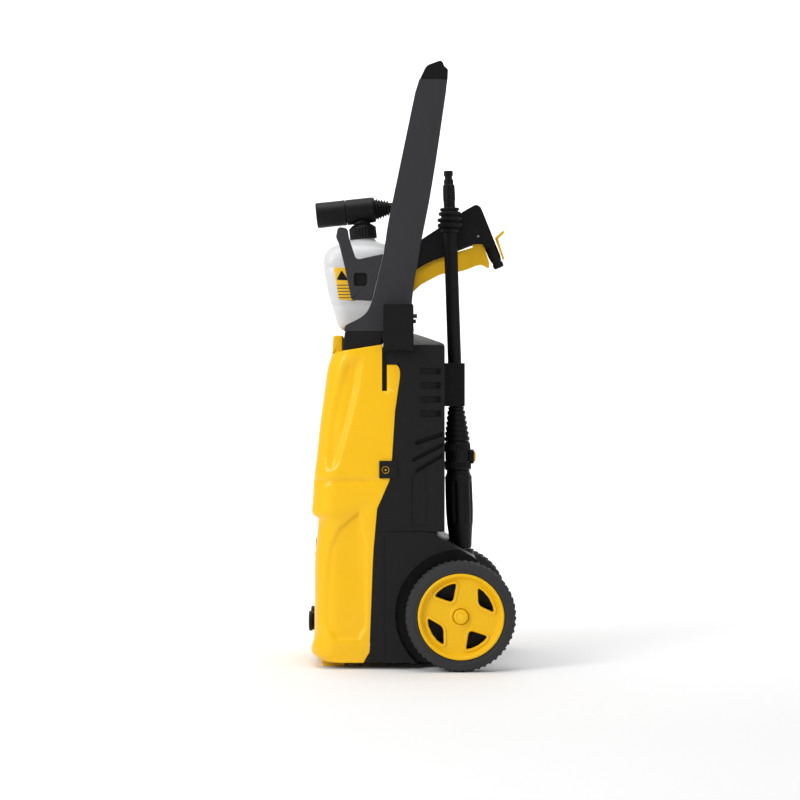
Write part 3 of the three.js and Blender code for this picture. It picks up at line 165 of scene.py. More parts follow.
class Board:
    """The node tree of one material."""

    MIX_SHARE, MIX_FIRST, MIX_SECOND, MIX_COLOUR = 0, 6, 7, 2  # the colour sockets of a Mix node

    def __init__(self, name):
        self.material = bpy.data.materials.new(name)
        self.material.use_nodes = True
        self.tree = self.material.node_tree
        self.shader = self.tree.nodes["Principled BSDF"]
        self.place = self.node("ShaderNodeTexCoord", {}, {}, "Object")

    def node(self, kind, settings, inputs, output=0):
        """Adds a node: its settings first, then the values or links of its sockets."""
        made = self.tree.nodes.new(kind)
        for key, value in settings.items():
            setattr(made, key, value)
        for key, value in inputs.items():
            self.feed(made.inputs[key], value)
        return Wire(self, made.outputs[output])

    def feed(self, socket, value):
        """Links a wire to a socket, or sets a constant on it."""
        if isinstance(value, Wire):
            self.tree.links.new(value.socket, socket)
        else:
            socket.default_value = value

    def noise(self, scale, detail=3.0, roughness=0.5):
        """Fractal noise over Object coordinates, scale in features per metre."""
        return self.node("ShaderNodeTexNoise", {}, {
            "Vector": self.place, "Scale": scale, "Detail": detail, "Roughness": roughness,
        })

    def step(self, value, low, high):
        """0 below low, 1 above high, and smooth between."""
        return self.node("ShaderNodeMapRange", {"interpolation_type": "SMOOTHSTEP"}, {
            "Value": value, "From Min": low, "From Max": high,
        })

    def blend(self, share, first, second):
        """The colour (1 - share) first + share second."""
        mix = self.tree.nodes.new("ShaderNodeMix")
        mix.data_type = "RGBA"
        self.feed(mix.inputs[self.MIX_SHARE], share)
        self.feed(mix.inputs[self.MIX_FIRST], first)
        self.feed(mix.inputs[self.MIX_SECOND], second)
        return Wire(self, mix.outputs[self.MIX_COLOUR])

    def bump(self, height, strength, distance, onto=None):
        """A normal tilted by a height field, on top of another bump if one is given."""
        inputs = {"Height": height, "Strength": strength, "Distance": distance}
        if onto is not None:
            inputs["Normal"] = onto
        return self.node("ShaderNodeBump", {}, inputs)

    def shade(self, **sockets):
        """Feeds the shader's sockets, named in lower case with underscores."""
        for key, value in sockets.items():
            self.feed(self.shader.inputs[key.replace("_", " ").title()], value)


def rgba(red, green, blue):
    """An opaque linear colour."""
    return (red, green, blue, 1.0)


def moulded_plastic(
        name, colour, wear_and_highlight_colour, roughness, grain_size, grain_depth, coat=0.0, gloss=0.5, edge_wear_and_highlight=0.5):
    """Colour drifts, edges are paler by the last argument (rubbing and a painted highlight), scuffs are
    duller, grain is raised.
    """
    board = Board(name)
    drift = board.noise(9.0)
    scuffs = board.step(board.noise(38.0, 6.0, 0.65), 0.56, 0.74)
    streaks = board.node("ShaderNodeTexNoise", {}, {
        "Vector": board.node("ShaderNodeMapping", {}, {"Vector": board.place, "Scale": (160.0, 160.0, 14.0)}),
        "Scale": 1.0, "Detail": 3.0,
    })
    # Edges found by Pointiness turn paler: partly rubbing, partly a painted edge highlight.
    edges = board.step(board.node("ShaderNodeNewGeometry", {}, {}, "Pointiness"), 0.52, 0.6)
    body = board.blend(drift, tuple(0.93 * c for c in colour[:3]) + (1.0,), colour)
    wear_and_highlight_share = (edges * board.step(board.noise(60.0), 0.4, 0.62) * edge_wear_and_highlight + scuffs * 0.05).clipped()
    grain = board.noise(grain_size, 2.0, 0.6)
    relief = board.bump(grain, 0.5, grain_depth)
    board.shade(
        base_color=board.blend(wear_and_highlight_share, body, wear_and_highlight_colour),
        roughness=(roughness + scuffs * 0.03 + board.step(streaks, 0.45,
            0.75) * 0.05 + drift * 0.04).clipped(),
        normal=board.bump(board.noise(24.0, 1.0), 0.18, 0.0006, relief),
    )
    board.shader.inputs["Specular IOR Level"].default_value = gloss
    board.shader.inputs["Coat Weight"].default_value = coat
    board.shader.inputs["Coat Roughness"].default_value = 0.12
    return board.material


yellow_gloss = moulded_plastic(
    "yellow_gloss", rgba(0.93, 0.52, 0.001), rgba(0.96, 0.66, 0.06), 0.3, 900.0, 0.00005, coat=0.12,
    gloss=0.3)
rim_yellow = moulded_plastic(
    "rim_yellow", rgba(0.88, 0.50, 0.001), rgba(0.93, 0.6, 0.06), 0.36, 1200.0, 0.00006, gloss=0.3)
shell_black = moulded_plastic("shell_black", rgba(0.0072, 0.0070, 0.0079), rgba(0.035, 0.035, 0.037), 0.44,
    1500.0, 0.00014,
    gloss=0.2, edge_wear_and_highlight=0.0)
deep_black = moulded_plastic("deep_black", rgba(0.0046, 0.0043, 0.0045), rgba(0.022, 0.022, 0.022), 0.38,
    1800.0, 0.0001, gloss=0.2, edge_wear_and_highlight=0.1)
handle_grey = moulded_plastic("handle_grey", rgba(0.022, 0.022, 0.0265), rgba(0.07, 0.07, 0.075), 0.42,
    1600.0, 0.00014,
    gloss=0.4, edge_wear_and_highlight=0.1)


def rubber_compound():
    """Matt dark rubber with a dusty tint on the tread and fine pores."""
    board = Board("tyre_rubber")
    dust = board.step(board.noise(30.0, 5.0, 0.6), 0.42, 0.72)
    board.shade(
        base_color=board.blend(dust * 0.35, rgba(0.017, 0.017, 0.0195), rgba(0.045, 0.044, 0.043)),
        roughness=0.72 + dust * 0.16,
        normal=board.bump(board.noise(2200.0, 2.0), 0.35, 0.0001),
    )
    return board.material


def metal(name, colour, roughness, brushed):
    """Bare metal, brushed along X for rods and pins or sand-cast all over."""
    board = Board(name)
    stretch = (40.0, 2600.0, 2600.0) if brushed else (900.0, 900.0, 900.0)
    lines = board.node("ShaderNodeTexNoise", {}, {
        "Vector": board.node("ShaderNodeMapping", {}, {"Vector": board.place, "Scale": stretch}),
        "Scale": 1.0, "Detail": 2.0,
    })
    tarnish = board.step(board.noise(55.0, 4.0), 0.5, 0.75)
    board.shade(
        base_color=board.blend(tarnish * 0.4, colour, tuple(0.6 * c for c in colour[:3]) + (1.0,)),
        roughness=(roughness + lines * 0.12 + tarnish * 0.15).clipped(),
        normal=board.bump(lines, 0.3, 0.00006),
    )
    board.shader.inputs["Metallic"].default_value = 1.0
    return board.material


def varnished_windings():
    """The motor can: dark stoved varnish over laminations that show as fine level lines."""
    board = Board("motor_varnish")
    plates = board.node("ShaderNodeTexWave", {"bands_direction": "Z"},
        {"Vector": board.place, "Scale": 260.0, "Distortion": 0.4})
    stain = board.step(board.noise(20.0, 4.0), 0.4, 0.7)
    board.shade(
        base_color=board.blend(stain, rgba(0.10, 0.05, 0.03), rgba(0.17, 0.09, 0.05)),
        roughness=0.4 + stain * 0.2,
        normal=board.bump(plates, 0.4, 0.0003),
    )
    return board.material


tyre_rubber = rubber_compound()
steel = metal("bright_steel", rgba(0.60, 0.60, 0.62), 0.26, True)
cast_alloy = metal("cast_alloy", rgba(0.55, 0.56, 0.58), 0.42, False)
motor_varnish = varnished_windings()


def milky_plastic():
    """Blown polyethylene: light passes into the wall and scatters, and the surface is faintly uneven."""
    board = Board("milky_polyethylene")
    haze = board.noise(14.0, 3.0)
    board.shade(
        base_color=board.blend(haze, rgba(0.80, 0.81, 0.82), rgba(0.90, 0.905, 0.905)),
        roughness=0.28 + haze * 0.12,
        normal=board.bump(board.noise(120.0, 2.0), 0.12, 0.0004),
    )
    board.shader.inputs["Transmission Weight"].default_value = 0.25
    board.shader.inputs["Subsurface Weight"].default_value = 0.35
    board.shader.inputs["Subsurface Radius"].default_value = (0.012, 0.012, 0.012)
    board.shader.inputs["IOR"].default_value = 1.5
    return board.material


milky = milky_plastic()

FINISHES = {
    "yellow_shell": yellow_gloss, "rim_yellow": rim_yellow, "black_shell": shell_black,
    "deep_black": deep_black,
    "handle_grey": handle_grey, "tyre": tyre_rubber, "milky_plastic": milky, "steel": steel,
    "aluminium": cast_alloy, "motor_paint": motor_varnish,
}
SLOT_OF = {part["node"]: part["material_slot"] for part in frame["record"]["subparts"]}
for node_name, node_object in frame["nodes"].items():
    node_object.data.materials.clear()
    node_object.data.materials.append(FINISHES[SLOT_OF[node_name]])


def body_of(node):
    """The CAD body that a node belongs to."""
    groups = frame["record"]["behaviour"]["bodies"]
    return next(body for body, members in groups.items() if node in members)


def dress(piece, body, slot, material=None):
    """Attaches a piece to its body and gives it the finish of a slot, or another material if one is named."""
    piece.data.materials.append(material or FINISHES[slot])
    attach(piece, body)
    return piece


def stands_for(piece, node, material=None):
    """Dresses a finished piece as the CAD node that it replaces."""
    dress(piece, body_of(node), SLOT_OF[node], material)
    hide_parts(node)
    return piece


def smooth_finish(piece, weight=80):
    """Smooth shading whose normals lean towards the larger faces, so flats stay flat beside fillets."""
    piece.data.shade_smooth()
    lean = piece.modifiers.new("flat_faces", "WEIGHTED_NORMAL")
    lean.weight = weight
    return piece


def moulded_copy(node, radius):
    """The node's own shape with its corners merged, flat faces joined and edges rounded as by a mould."""
    source = frame["nodes"][node]
    shape = bmesh.new()
    shape.from_mesh(source.data)
    bmesh.ops.remove_doubles(shape, verts=shape.verts, dist=2e-6)
    bmesh.ops.dissolve_degenerate(shape, edges=shape.edges, dist=2e-6)
    bmesh.ops.dissolve_limit(
        shape, angle_limit=math.radians(1.0), verts=shape.verts, edges=shape.edges, delimit={"NORMAL"})
    mesh = bpy.data.meshes.new(node + "_skin")
    shape.to_mesh(mesh)
    shape.free()
    piece = bpy.data.objects.new(node + "_skin", mesh)
    scene.collection.objects.link(piece)
    edge = piece.modifiers.new("mould_radius", "BEVEL")
    edge.width = radius
    edge.segments = 3
    edge.limit_method = "ANGLE"
    edge.angle_limit = math.radians(28.0)
    edge.use_clamp_overlap = True
    edge.miter_outer = "MITER_ARC"
    return stands_for(smooth_finish(piece, weight=100), node)


# ---- Tyres ----
# Solid rubber tyres stretched over the rims. The tread is moulded in two rows of staggered lugs with grooves
# between, the shoulders are rounded and a raised bead line runs round each sidewall.
MM = 0.001
SIDES = (("left", 1.0), ("right", -1.0))


def full_turn(count):
    """Evenly spaced angles of one turn."""
    return np.linspace(0, 2 * math.pi, count, endpoint=False)


def powered(wave, power):
    """sign(wave) |wave|^power, which squares off a circle below 1."""
    return np.sign(wave) * np.abs(wave) ** power


def box_middle(node):
    """The centre of a node's box."""
    low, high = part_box(node)
    return (low + high) / 2


def inner_spot(node, out):
    """The centre of the box face that looks inwards, for a piece on the side that out points to."""
    low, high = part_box(node)
    middle = box_middle(node)
    return (low.x if out > 0 else high.x, middle.y, middle.z)


def frame_across(axis):
    """Two unit vectors at right angles to an axis and to each other."""
    along = np.array(axis, float) / np.linalg.norm(axis)
    helper = np.array([0.0, 0.0, 1.0]) if abs(along[2]) < 0.9 else np.array([0.0, 1.0, 0.0])
    first = np.cross(helper, along)
    first /= np.linalg.norm(first)
    return first, np.cross(along, first), along


def swept(start, axis, radius, height, angle):
    """The points at start + height along the axis + radius at an angle round it, for arrays of all three."""
    first, second, along = frame_across(axis)
    return (
        np.array(start, float)
        + (radius * np.cos(angle))[..., None] * first
        + (radius * np.sin(angle))[..., None] * second
        + height[..., None] * along
    )


def corner_arc(before, corner, after, reach, most, share):
    """A parabola, (1 - s)^2 enter + 2 s (1 - s) corner + s^2 leave, that starts at most reach away."""
    ends = []
    for other in (before, after):
        run = np.linalg.norm(other - corner)
        ends.append(corner + (other - corner) / max(run, 1e-9) * min(reach, most * run))
    return (1 - share) ** 2 * ends[0] + 2 * share * (1 - share) * corner + share ** 2 * ends[1]


def rounded(profile, radius):
    """A profile in millimetres with each inner corner replaced by a parabola that starts radius away."""
    profile = np.array(profile, float)
    points = [profile[0]]
    share = np.linspace(0, 1, 5)[:, None]
    for before, corner, after in zip(profile, profile[1:], profile[2:]):
        points.extend(corner_arc(before, corner, after, radius, 0.45, share))
    return np.array([*points, profile[-1]])


def turned(name, profile, start, axis, sides=96, soften=0.8, relief=None):
    """A profile (radius, height) in millimetres swept round an axis; relief(height, angle) widens it."""
    outline = rounded(profile, soften) * MM
    angle = full_turn(sides)
    radius, turn = np.meshgrid(outline[:, 0], angle, indexing="ij")
    height = np.broadcast_to(outline[:, 1][:, None], radius.shape)
    if relief is not None:
        radius = np.maximum(radius + np.where(radius > 0, relief(height / MM, turn) * MM, 0.0), 0.0)
    points = swept(start, axis, radius, height, turn)
    return smooth_finish(mesh_object(name, points, grid_faces(len(outline), sides, around=True)))


TYRE_LUGS = 52
LUG_DEPTH = 1.5
TREAD_MIDDLE, TREAD_HALF = 18.0, 18.4


def tread(height, angle):
    """Depth of the grooves in millimetres: one row of lugs on each half of the tread, half a lug apart."""
    row = np.where(height < TREAD_MIDDLE, 0.0, math.pi)
    wave = np.sin(TYRE_LUGS * angle + row)
    groove = np.where(wave > 0.35, 0.0, np.clip((wave - 0.35) * 4.0, -1.0, 0.0))
    on_tread = np.clip((TREAD_HALF - np.abs(height - TREAD_MIDDLE)) / 4.0, 0.0, 1.0)
    middle = np.exp(-((height - TREAD_MIDDLE) / 1.6) ** 2)
    return np.minimum(groove, -middle) * LUG_DEPTH * on_tread


def tyre_skin(side, out):
    """The section runs from the inner bead over the sidewall, tread and outer sidewall back to the bead."""
    node = "tyre_" + side
    section = [
        (62.0, 1.2), (65.0, 0.7), (66.0, 1.4), (72.0, 0.9), (75.0, 1.6), (77.4, 4.2),
        *[(77.9, h) for h in np.linspace(6.0, 30.0, 13)],
        (77.4, 31.8), (75.0, 34.4), (72.0, 35.1), (68.0, 34.6), (66.6, 35.3), (65.4, 34.5), (62.0, 34.8),
        (61.4, 32.0), (61.4, 4.0), (62.0, 1.2),
    ]
    profile = np.array(section)
    sides = TYRE_LUGS * 12
    angle = full_turn(sides)
    radius, turn = np.meshgrid(profile[:, 0], angle, indexing="ij")
    height = np.broadcast_to(profile[:, 1][:, None], radius.shape)
    radius = radius + np.where(radius > 74.0, tread(height, turn), 0.0)
    points = swept(inner_spot(node, out), (out, 0, 0), radius * MM, height * MM, turn)
    faces = grid_faces(len(profile), sides, around=True)
    piece = mesh_object(node + "_skin", points, faces if out > 0 else faces[:, ::-1])
    merge_seam(piece)
    piece.data.shade_smooth()
    piece.data.set_sharp_from_angle(angle=math.radians(34.0))
    return stands_for(piece, node)


def merge_seam(piece):
    """Joins coincident corners and turns the faces outwards."""
    shape = bmesh.new()
    shape.from_mesh(piece.data)
    bmesh.ops.remove_doubles(shape, verts=shape.verts, dist=1e-6)
    bmesh.ops.recalc_face_normals(shape, faces=shape.faces)
    shape.to_mesh(piece.data)
    shape.free()


for side, out in SIDES:
    tyre_skin(side, out)


# ---- Wheel rims ----
# One-piece glass-filled nylon rims: a dished disc with four broad spokes, a raised lip, a ridge round each
# window and a short drum behind, moulded in yellow.
WINDOW_PLAN = [(120, 23, 22.0), (211, 29, 28.5), (301, 23, 22.0), (33, 27, 29.0)]
WINDOW_OUTER = 47.4


def rounded_loop(corners, count):
    """count points evenly spaced along a closed polygon, its corners (y, z, radius) rounded by parabolas."""
    spots = np.array([corner[:2] for corner in corners], float)
    pieces = []
    share = np.linspace(0, 1, 9)[:, None]
    for i, corner in enumerate(corners):
        before, here, after = spots[i - 1], spots[i], spots[(i + 1) % len(spots)]
        if corner[2] > 0:
            pieces.append(corner_arc(before, here, after, corner[2], 0.48, share))
        else:
            pieces.append(here[None, :])
    loop = np.concatenate(pieces)
    closed = np.concatenate([loop, loop[:1]])
    length = np.concatenate([[0], np.cumsum(np.linalg.norm(np.diff(closed, axis=0), axis=1))])
    at = np.linspace(0, length[-1], count, endpoint=False)
    return np.stack([np.interp(at, length, closed[:, k]) for k in (0, 1)], -1)


def window_loop(middle, half_opening, inner, count):
    """The outline of one window: an arc near the lip and two straight edges that meet towards the hub."""
    degrees = [middle + share * half_opening for share in (-1, -0.5, 0, 0.5, 1)]
    corners = [
        (WINDOW_OUTER * math.cos(math.radians(d)), WINDOW_OUTER * math.sin(math.radians(d)),
            5.0 if n in (0, 4) else 0.0)
        for n, d in enumerate(degrees)
    ]
    tip = math.radians(middle)
    return rounded_loop([*corners, (inner * math.cos(tip), inner * math.sin(tip), 7.0)], count)


RIM_SIDES = 128
WEB_FRONT, WEB_BACK = 28.0, 23.0
WEB_EDGE, HUB_EDGE = 51.0, 16.5


def circle(radius, count):
    """count points round a circle about the origin."""
    angle = full_turn(count)
    return np.stack([radius * np.cos(angle), radius * np.sin(angle)], -1)


def grown(loop, amount):
    """A loop moved outwards along its own normals by an amount in millimetres."""
    along = np.roll(loop, -1, axis=0) - np.roll(loop, 1, axis=0)
    normal = np.stack([along[:, 1], -along[:, 0]], -1)
    normal /= np.maximum(np.linalg.norm(normal, axis=1, keepdims=True), 1e-9)
    area = np.sum(loop[:, 0] * np.roll(loop[:, 1], -1) - np.roll(loop[:, 0], -1) * loop[:, 1])
    return loop + normal * (amount if area > 0 else -amount)


def flat_web(loops, height):
    """Triangles that fill the area inside the first loop and outside the others, at one height."""
    spots = np.concatenate(loops)
    edges, start = [], 0
    for loop in loops:
        count = len(loop)
        edges.extend((start + i, start + (i + 1) % count) for i in range(count))
        start += count
    made, _, triangles, *_ = delaunay_2d_cdt([Vector(spot) for spot in spots], edges, [], 0, 1e-7)
    made = np.array([tuple(spot) for spot in made])
    triangles = np.array([t for t in triangles if len(t) == 3])
    centre = made[triangles].mean(axis=1)
    kept = inside_loop(centre, loops[0])
    for hole in loops[1:]:
        kept &= ~inside_loop(centre, hole)
    return np.column_stack([made, np.full(len(made), height)]), triangles[kept]


def inside_loop(spots, loop):
    """Even-odd test of whether each spot lies within a closed loop."""
    after = np.roll(loop, -1, axis=0)
    y, z = spots[:, 0][:, None], spots[:, 1][:, None]
    crosses = (loop[:, 1] > z) != (after[:, 1] > z)
    run = np.where(np.abs(after[:, 1] - loop[:, 1]) < 1e-12, 1e-12, after[:, 1] - loop[:, 1])
    reach = loop[:, 0] + (z - loop[:, 1]) / run * (after[:, 0] - loop[:, 0])
    return (np.sum(crosses & (y < reach), axis=1) % 2) == 1


class Patchwork:
    """Collects grids and triangles into one mesh whose shared edges are merged at the end."""

    def __init__(self):
        self.points = []
        self.faces = []
        self.count = 0

    def add(self, points, faces):
        """Takes in points and their faces, renumbered after those already held."""
        points = np.asarray(points, float).reshape(-1, 3)
        self.points.append(points)
        self.faces.extend((np.asarray(faces) + self.count).tolist())
        self.count += len(points)

    def loops(self, loops):
        """A skin through loops of equal length, given as (count, 3) arrays."""
        stack = np.stack(loops)
        self.add(stack, grid_faces(len(loops), stack.shape[1], around=True))

    def build(self, name):
        """The collected mesh as one piece."""
        piece = mesh_object(name, np.concatenate(self.points), self.faces)
        merge_seam(piece)
        return piece


def at_height(loop, height):
    """A flat loop as points at one height."""
    return np.column_stack([loop, np.full(len(loop), height)])


def rim_skin(side, out):
    """Front and back webs with four windows, joined by window walls, the lip with its drum, and the hub."""
    node = "rim_" + side
    patch = Patchwork()
    windows = [window_loop(*plan, 72) for plan in WINDOW_PLAN]
    front_holes = [grown(w, 4.5) for w in windows]
    back_holes = [grown(w, 0.6) for w in windows]
    lip = [
        (WEB_EDGE, WEB_FRONT), (52.0, 28.1), (53.2, 28.8), (54.6, 31.2), (55.6, 33.4), (56.6, 34.5),
        (57.8, 35.0), (59.4, 35.0), (60.5, 34.6), (60.9, 33.6), (60.9, 4.2), (60.6, 3.3), (59.6, 3.0),
        (57.6, 3.0), (56.8, 3.6), (54.2, 22.0), (53.0, 22.8), (WEB_EDGE, WEB_BACK),
    ]
    patch.loops([at_height(circle(r, RIM_SIDES), h) for r, h in lip])
    hub = [
        (HUB_EDGE, WEB_FRONT), (15.9, 28.05), (15.3, 28.3), (14.6, 28.7), (13.8, 28.9), (12.4, 28.9),
        (11.8, 28.8), (11.4, 28.4), (11.2, 27.6), (11.0, 25.4), (10.4, 25.0), (6.2, 25.0), (5.4, 24.6),
        (5.3, 23.8), (5.3, 0.8), (6.0, 0.1), (11.0, 0.1), (12.0, 0.8), (14.6, 21.0), (15.2, 22.6),
        (HUB_EDGE, WEB_BACK),
    ]
    patch.loops([at_height(circle(r, RIM_SIDES // 2), h) for r, h in hub])
    for window, front, back in zip(windows, front_holes, back_holes):
        ridge = [
            (4.0, WEB_FRONT + 0.3), (3.5, WEB_FRONT + 1.3), (2.9, WEB_FRONT + 1.7), (1.0, WEB_FRONT + 1.6),
            (0.35, WEB_FRONT + 1.1), (0.0, WEB_FRONT - 0.2), (-0.4, WEB_FRONT - 2.4), (0.0, WEB_BACK + 0.5),
        ]
        rows = [at_height(grown(window, wider), height) for wider, height in ridge]
        patch.loops([at_height(front, WEB_FRONT), *rows, at_height(back, WEB_BACK)])
    for height, holes in ((WEB_FRONT, front_holes), (WEB_BACK, back_holes)):
        patch.add(*flat_web([circle(WEB_EDGE, RIM_SIDES), circle(HUB_EDGE, RIM_SIDES // 2), *holes], height))
    piece = patch.build(node + "_skin")
    inner, middle_y, middle_z = inner_spot(node, out)
    coordinates = np.empty(len(piece.data.vertices) * 3)
    piece.data.vertices.foreach_get("co", coordinates)
    spots = coordinates.reshape(-1, 3) * MM
    placed = np.column_stack([inner + out * spots[:, 2], middle_y + spots[:, 0], middle_z + spots[:, 1]])
    piece.data.vertices.foreach_set("co", placed.ravel())
    merge_seam(piece)
    smooth_finish(piece)
    return stands_for(piece, node)


for side, out in SIDES:
    rim_skin(side, out)
    node = "hub_cap_" + side
    stands_for(turned(
        node + "_skin",
        [(0, 0), (10.5, 0), (10.5, 6.0), (9.6, 7.6), (7.0, 8.4), (6.2, 8.1), (5.2, 8.1), (4.2, 8.5),
            (0, 8.6)],
        inner_spot(node, out), (out, 0, 0), sides=72), node)


# ---- Front cover ----
# A single gloss yellow ABS moulding, 3 mm thick, wrapped round the machine's front. Each side carries a long
# scooped flute above a waist crease, a sweeping shoulder below it and a sunken lower panel.
COVER_HALF = 115.0
COVER_CORNER = 34.0
COVER_WALL = 3.0
FRONT_LINE = np.array([
    (9.4, -129.0), (12, -131.5), (16, -137.0), (20.5, -141.6), (24, -142.6), (29, -142.5), (34, -141.0),
    (40, -139.2), (48, -138.1), (140, -138), (150, -137.8), (160, -137.1), (170, -135.9), (190, -134.3),
    (205, -133.2), (211, -133.0), (213.5, -134.2), (217, -139.8), (219.5, -142.2), (223, -142.5), (238, -141),
    (264, -139.6), (281, -137.8), (298, -135.5), (333, -131.9), (350, -130), (368, -127.6), (385, -125.2),
    (405, -122.6), (420, -120.8), (432, -118.4), (440, -115.9), (446, -113.6), (462, -113.2),
])
REAR_LINE = np.array([
    (9.4, -67.5), (24, -59), (153, -54), (171, -53), (228, -48), (269, -30), (298, -27), (366, -22.6),
    (415.5, -15.5), (424, -15.6), (429, -17.4), (432, -20.5), (462, -20.5),
])
SLOT_FRONT, SLOT_REAR, SLOT_FOOT, TAB_TOP, SIDE_TOP = -41.0, -34.0, 395.0, 432.0, 446.0
FRONT_FACE = -120.0  # the holes are cut only in front of this
UPPER_FLUTE = [
    (-95, 441), (-66, 442), (-71, 400), (-84, 346), (-99, 292), (-108, 280), (-121, 281), (-125, 300),
    (-122, 345), (-110, 396),
]
LOWER_PANEL = [
    (-72, 226), (-62, 178), (-61, 60), (-72, 42), (-108, 40), (-125, 62), (-125, 120), (-119, 172),
    (-104, 200),
]


def roof(y):
    """Height of the cover's top, which rises towards the rear."""
    return 452.0 + (np.clip(y, -98.0, -41.0) + 98.0) / 57.0 * 9.0 - np.clip(-98.0 - y, 0.0, 20.0) * 0.28


def eased(share):
    """A share held between 0 and 1 with level ends."""
    held = np.clip(share, 0.0, 1.0)
    return held * held * (3.0 - 2.0 * held)


def sunk(y, z, corners, soft):
    """0 outside a polygon, rising with level ends to 1 at soft millimetres inside its edge."""
    loop = np.array(corners, float)
    distance = np.full(y.shape, 1e9)
    for start, end in zip(loop, np.roll(loop, -1, axis=0)):
        run = end - start
        share = np.clip(((y - start[0]) * run[0] + (z - start[1]) * run[1]) / np.dot(run, run), 0, 1)
        distance = np.minimum(distance, np.hypot(y - start[0] - share * run[0],
            z - start[1] - share * run[1]))
    return eased(np.where(inside_loop(np.column_stack([y, z]), loop), distance, 0.0) / soft)


def side_press(y, z):
    """Millimetres that the side is pressed in: flute, panel, crease, under the shoulder, and the foot."""
    shoulder = 206.0 + 0.0056 * np.clip(y + 128.0, 0, 90.0) ** 2
    below = eased((shoulder + 16.0 - z) / 22.0) * eased((z - 70.0) / 90.0) * eased((-52.0 - y) / 26.0)
    crease = np.exp(-((z - 267.0) / 3.2) ** 2) * 2.8 * eased((-34.0 - y) / 34.0)
    return (
        0.3
        + 5.2 * sunk(y, z, UPPER_FLUTE, 12.0)
        + 3.6 * sunk(y, z, LOWER_PANEL, 5.0)
        + crease
        + 2.6 * below
        + 1.2 * eased((36.0 - z) / 20.0)
    )


def cover_row(height):
    """One level section from the left rear edge round the front to the right one, the slot's edges in it."""
    front = np.interp(height, FRONT_LINE[:, 0], FRONT_LINE[:, 1])
    rear = np.interp(height, REAR_LINE[:, 0], REAR_LINE[:, 1])
    corner_y = front + COVER_CORNER
    slot = [min(rear, SLOT_REAR), min(rear, SLOT_FRONT)]
    along = np.concatenate([[rear, 0.5 * (rear + slot[0])], slot, np.linspace(slot[1], corner_y, 44)[1:]])
    turn = np.linspace(0, math.pi / 2, 15)[1:]
    lean = np.concatenate([np.ones(len(along)), np.cos(turn)])
    x = COVER_HALF - COVER_CORNER + COVER_CORNER * lean
    y = np.concatenate([along, corner_y - COVER_CORNER * np.sin(turn)])
    press = side_press(y, np.full(len(y), height)) * np.clip(lean * 1.6, 0, 1)
    x = x - lean * press
    y = y + np.sqrt(1 - lean ** 2) * press
    across = np.linspace(x[-1], 0, 24)[1:]
    panel = eased((62.0 - across) / 5.0) * eased((height - 244.0) / 6.0) * eased((424.0 - height) / 6.0)
    half = np.column_stack([np.concatenate([x, across]), np.concatenate([y, front + 1.6 * panel])])
    row = np.concatenate([half, half[:-1][::-1] * [-1, 1]])
    return np.column_stack([row, np.full(len(row), height)])


def front_cover_skin():
    """Level rows up to the slanted top, then rows that follow the roof inwards, without slots and holes."""
    heights = np.unique(np.concatenate([
        np.linspace(9.4, 48, 18), np.linspace(48, 205, 50), np.linspace(205, 224, 12),
        np.linspace(224, 300, 34),
        np.linspace(300, SLOT_FOOT, 30), np.linspace(SLOT_FOOT, TAB_TOP, 13), [438.0, 442.0, SIDE_TOP],
    ]))
    rows = [cover_row(height) for height in heights]
    edge = rows[-1]
    target = roof(edge[:, 1])
    for share in (0.3, 0.6, 0.8, 1.0):
        rows.append(np.column_stack([edge[:, :2], SIDE_TOP + share * (target - 1.4 - SIDE_TOP)]))
    for keep, drop in ((0.9975, 0.55), (0.992, 0.15), (0.98, 0.0), (0.8, 0.0), (0.5, 0.0), (0.2, 0.0)):
        y = SLOT_FRONT + (edge[:, 1] - SLOT_FRONT) * keep
        rows.append(np.column_stack([edge[:, 0] * keep, y, roof(y) - drop]))
    grid = np.array(rows)
    count, columns = grid.shape[:2]
    quads = grid_faces(count, columns)
    row, column = np.divmod(np.arange(len(quads)), columns - 1)
    column = np.minimum(column, columns - 2 - column)
    level = grid[row, 0, 2]
    gone = ((column == 2) & (level > SLOT_FOOT - 0.1)) | ((column < 2) & (level > TAB_TOP - 0.1))
    gone |= (column < 3) & (row >= len(heights) - 1)
    middle = grid.reshape(-1, 3)[quads].mean(axis=1)
    for node, reach in (("switch_bezel", 20.0), ("outlet_connector", 11.0), ("inlet_connector", 11.0)):
        spot = box_middle(node)
        near = np.hypot(middle[:, 0] - spot.x / MM, middle[:, 2] - spot.z / MM) < reach
        gone |= near & (middle[:, 1] < FRONT_FACE)
    piece = mesh_object("front_cover_skin", grid * MM, quads[~gone])
    merge_seam(piece)
    piece.data.shade_smooth()
    wall = piece.modifiers.new("wall", "SOLIDIFY")
    wall.thickness = COVER_WALL * MM
    wall.offset = -1.0
    edge_round = piece.modifiers.new("edge_round", "BEVEL")
    edge_round.width = 0.5 * MM
    edge_round.segments = 2
    edge_round.limit_method = "ANGLE"
    edge_round.angle_limit = math.radians(60.0)
    return stands_for(piece, "front_cover")


front_cover_skin()


def loft(name, sections, close_ends=True):
    """A skin through closed sections of equal length, with its end sections filled by fans."""
    stack = np.array(sections, float)
    count, around = stack.shape[:2]
    points = [stack.reshape(-1, 3)]
    faces = grid_faces(count, around, around=True).tolist()
    if close_ends:
        points.append(np.array([stack[0].mean(axis=0), stack[-1].mean(axis=0)]))
        first, last = count * around, count * around + 1
        ring = np.arange(around)
        after = (ring + 1) % around
        faces.extend(np.column_stack([after, ring, np.full(around, first)]).tolist())
        top = (count - 1) * around
        faces.extend(np.column_stack([top + ring, top + after, np.full(around, last)]).tolist())
    piece = mesh_object(name, np.concatenate(points), faces)
    merge_seam(piece)
    return smooth_finish(piece)


def prism_rows(half, soft):
    """Offsets (inset, x) of a block that spans its middle plane, rounded at its ends by soft."""
    turn = np.linspace(0, math.pi / 2, 5)
    ends = [(soft * (1 - math.sin(t)), -half + soft * (1 - math.cos(t))) for t in turn]
    return ends + [(inset, -x) for inset, x in reversed(ends)]


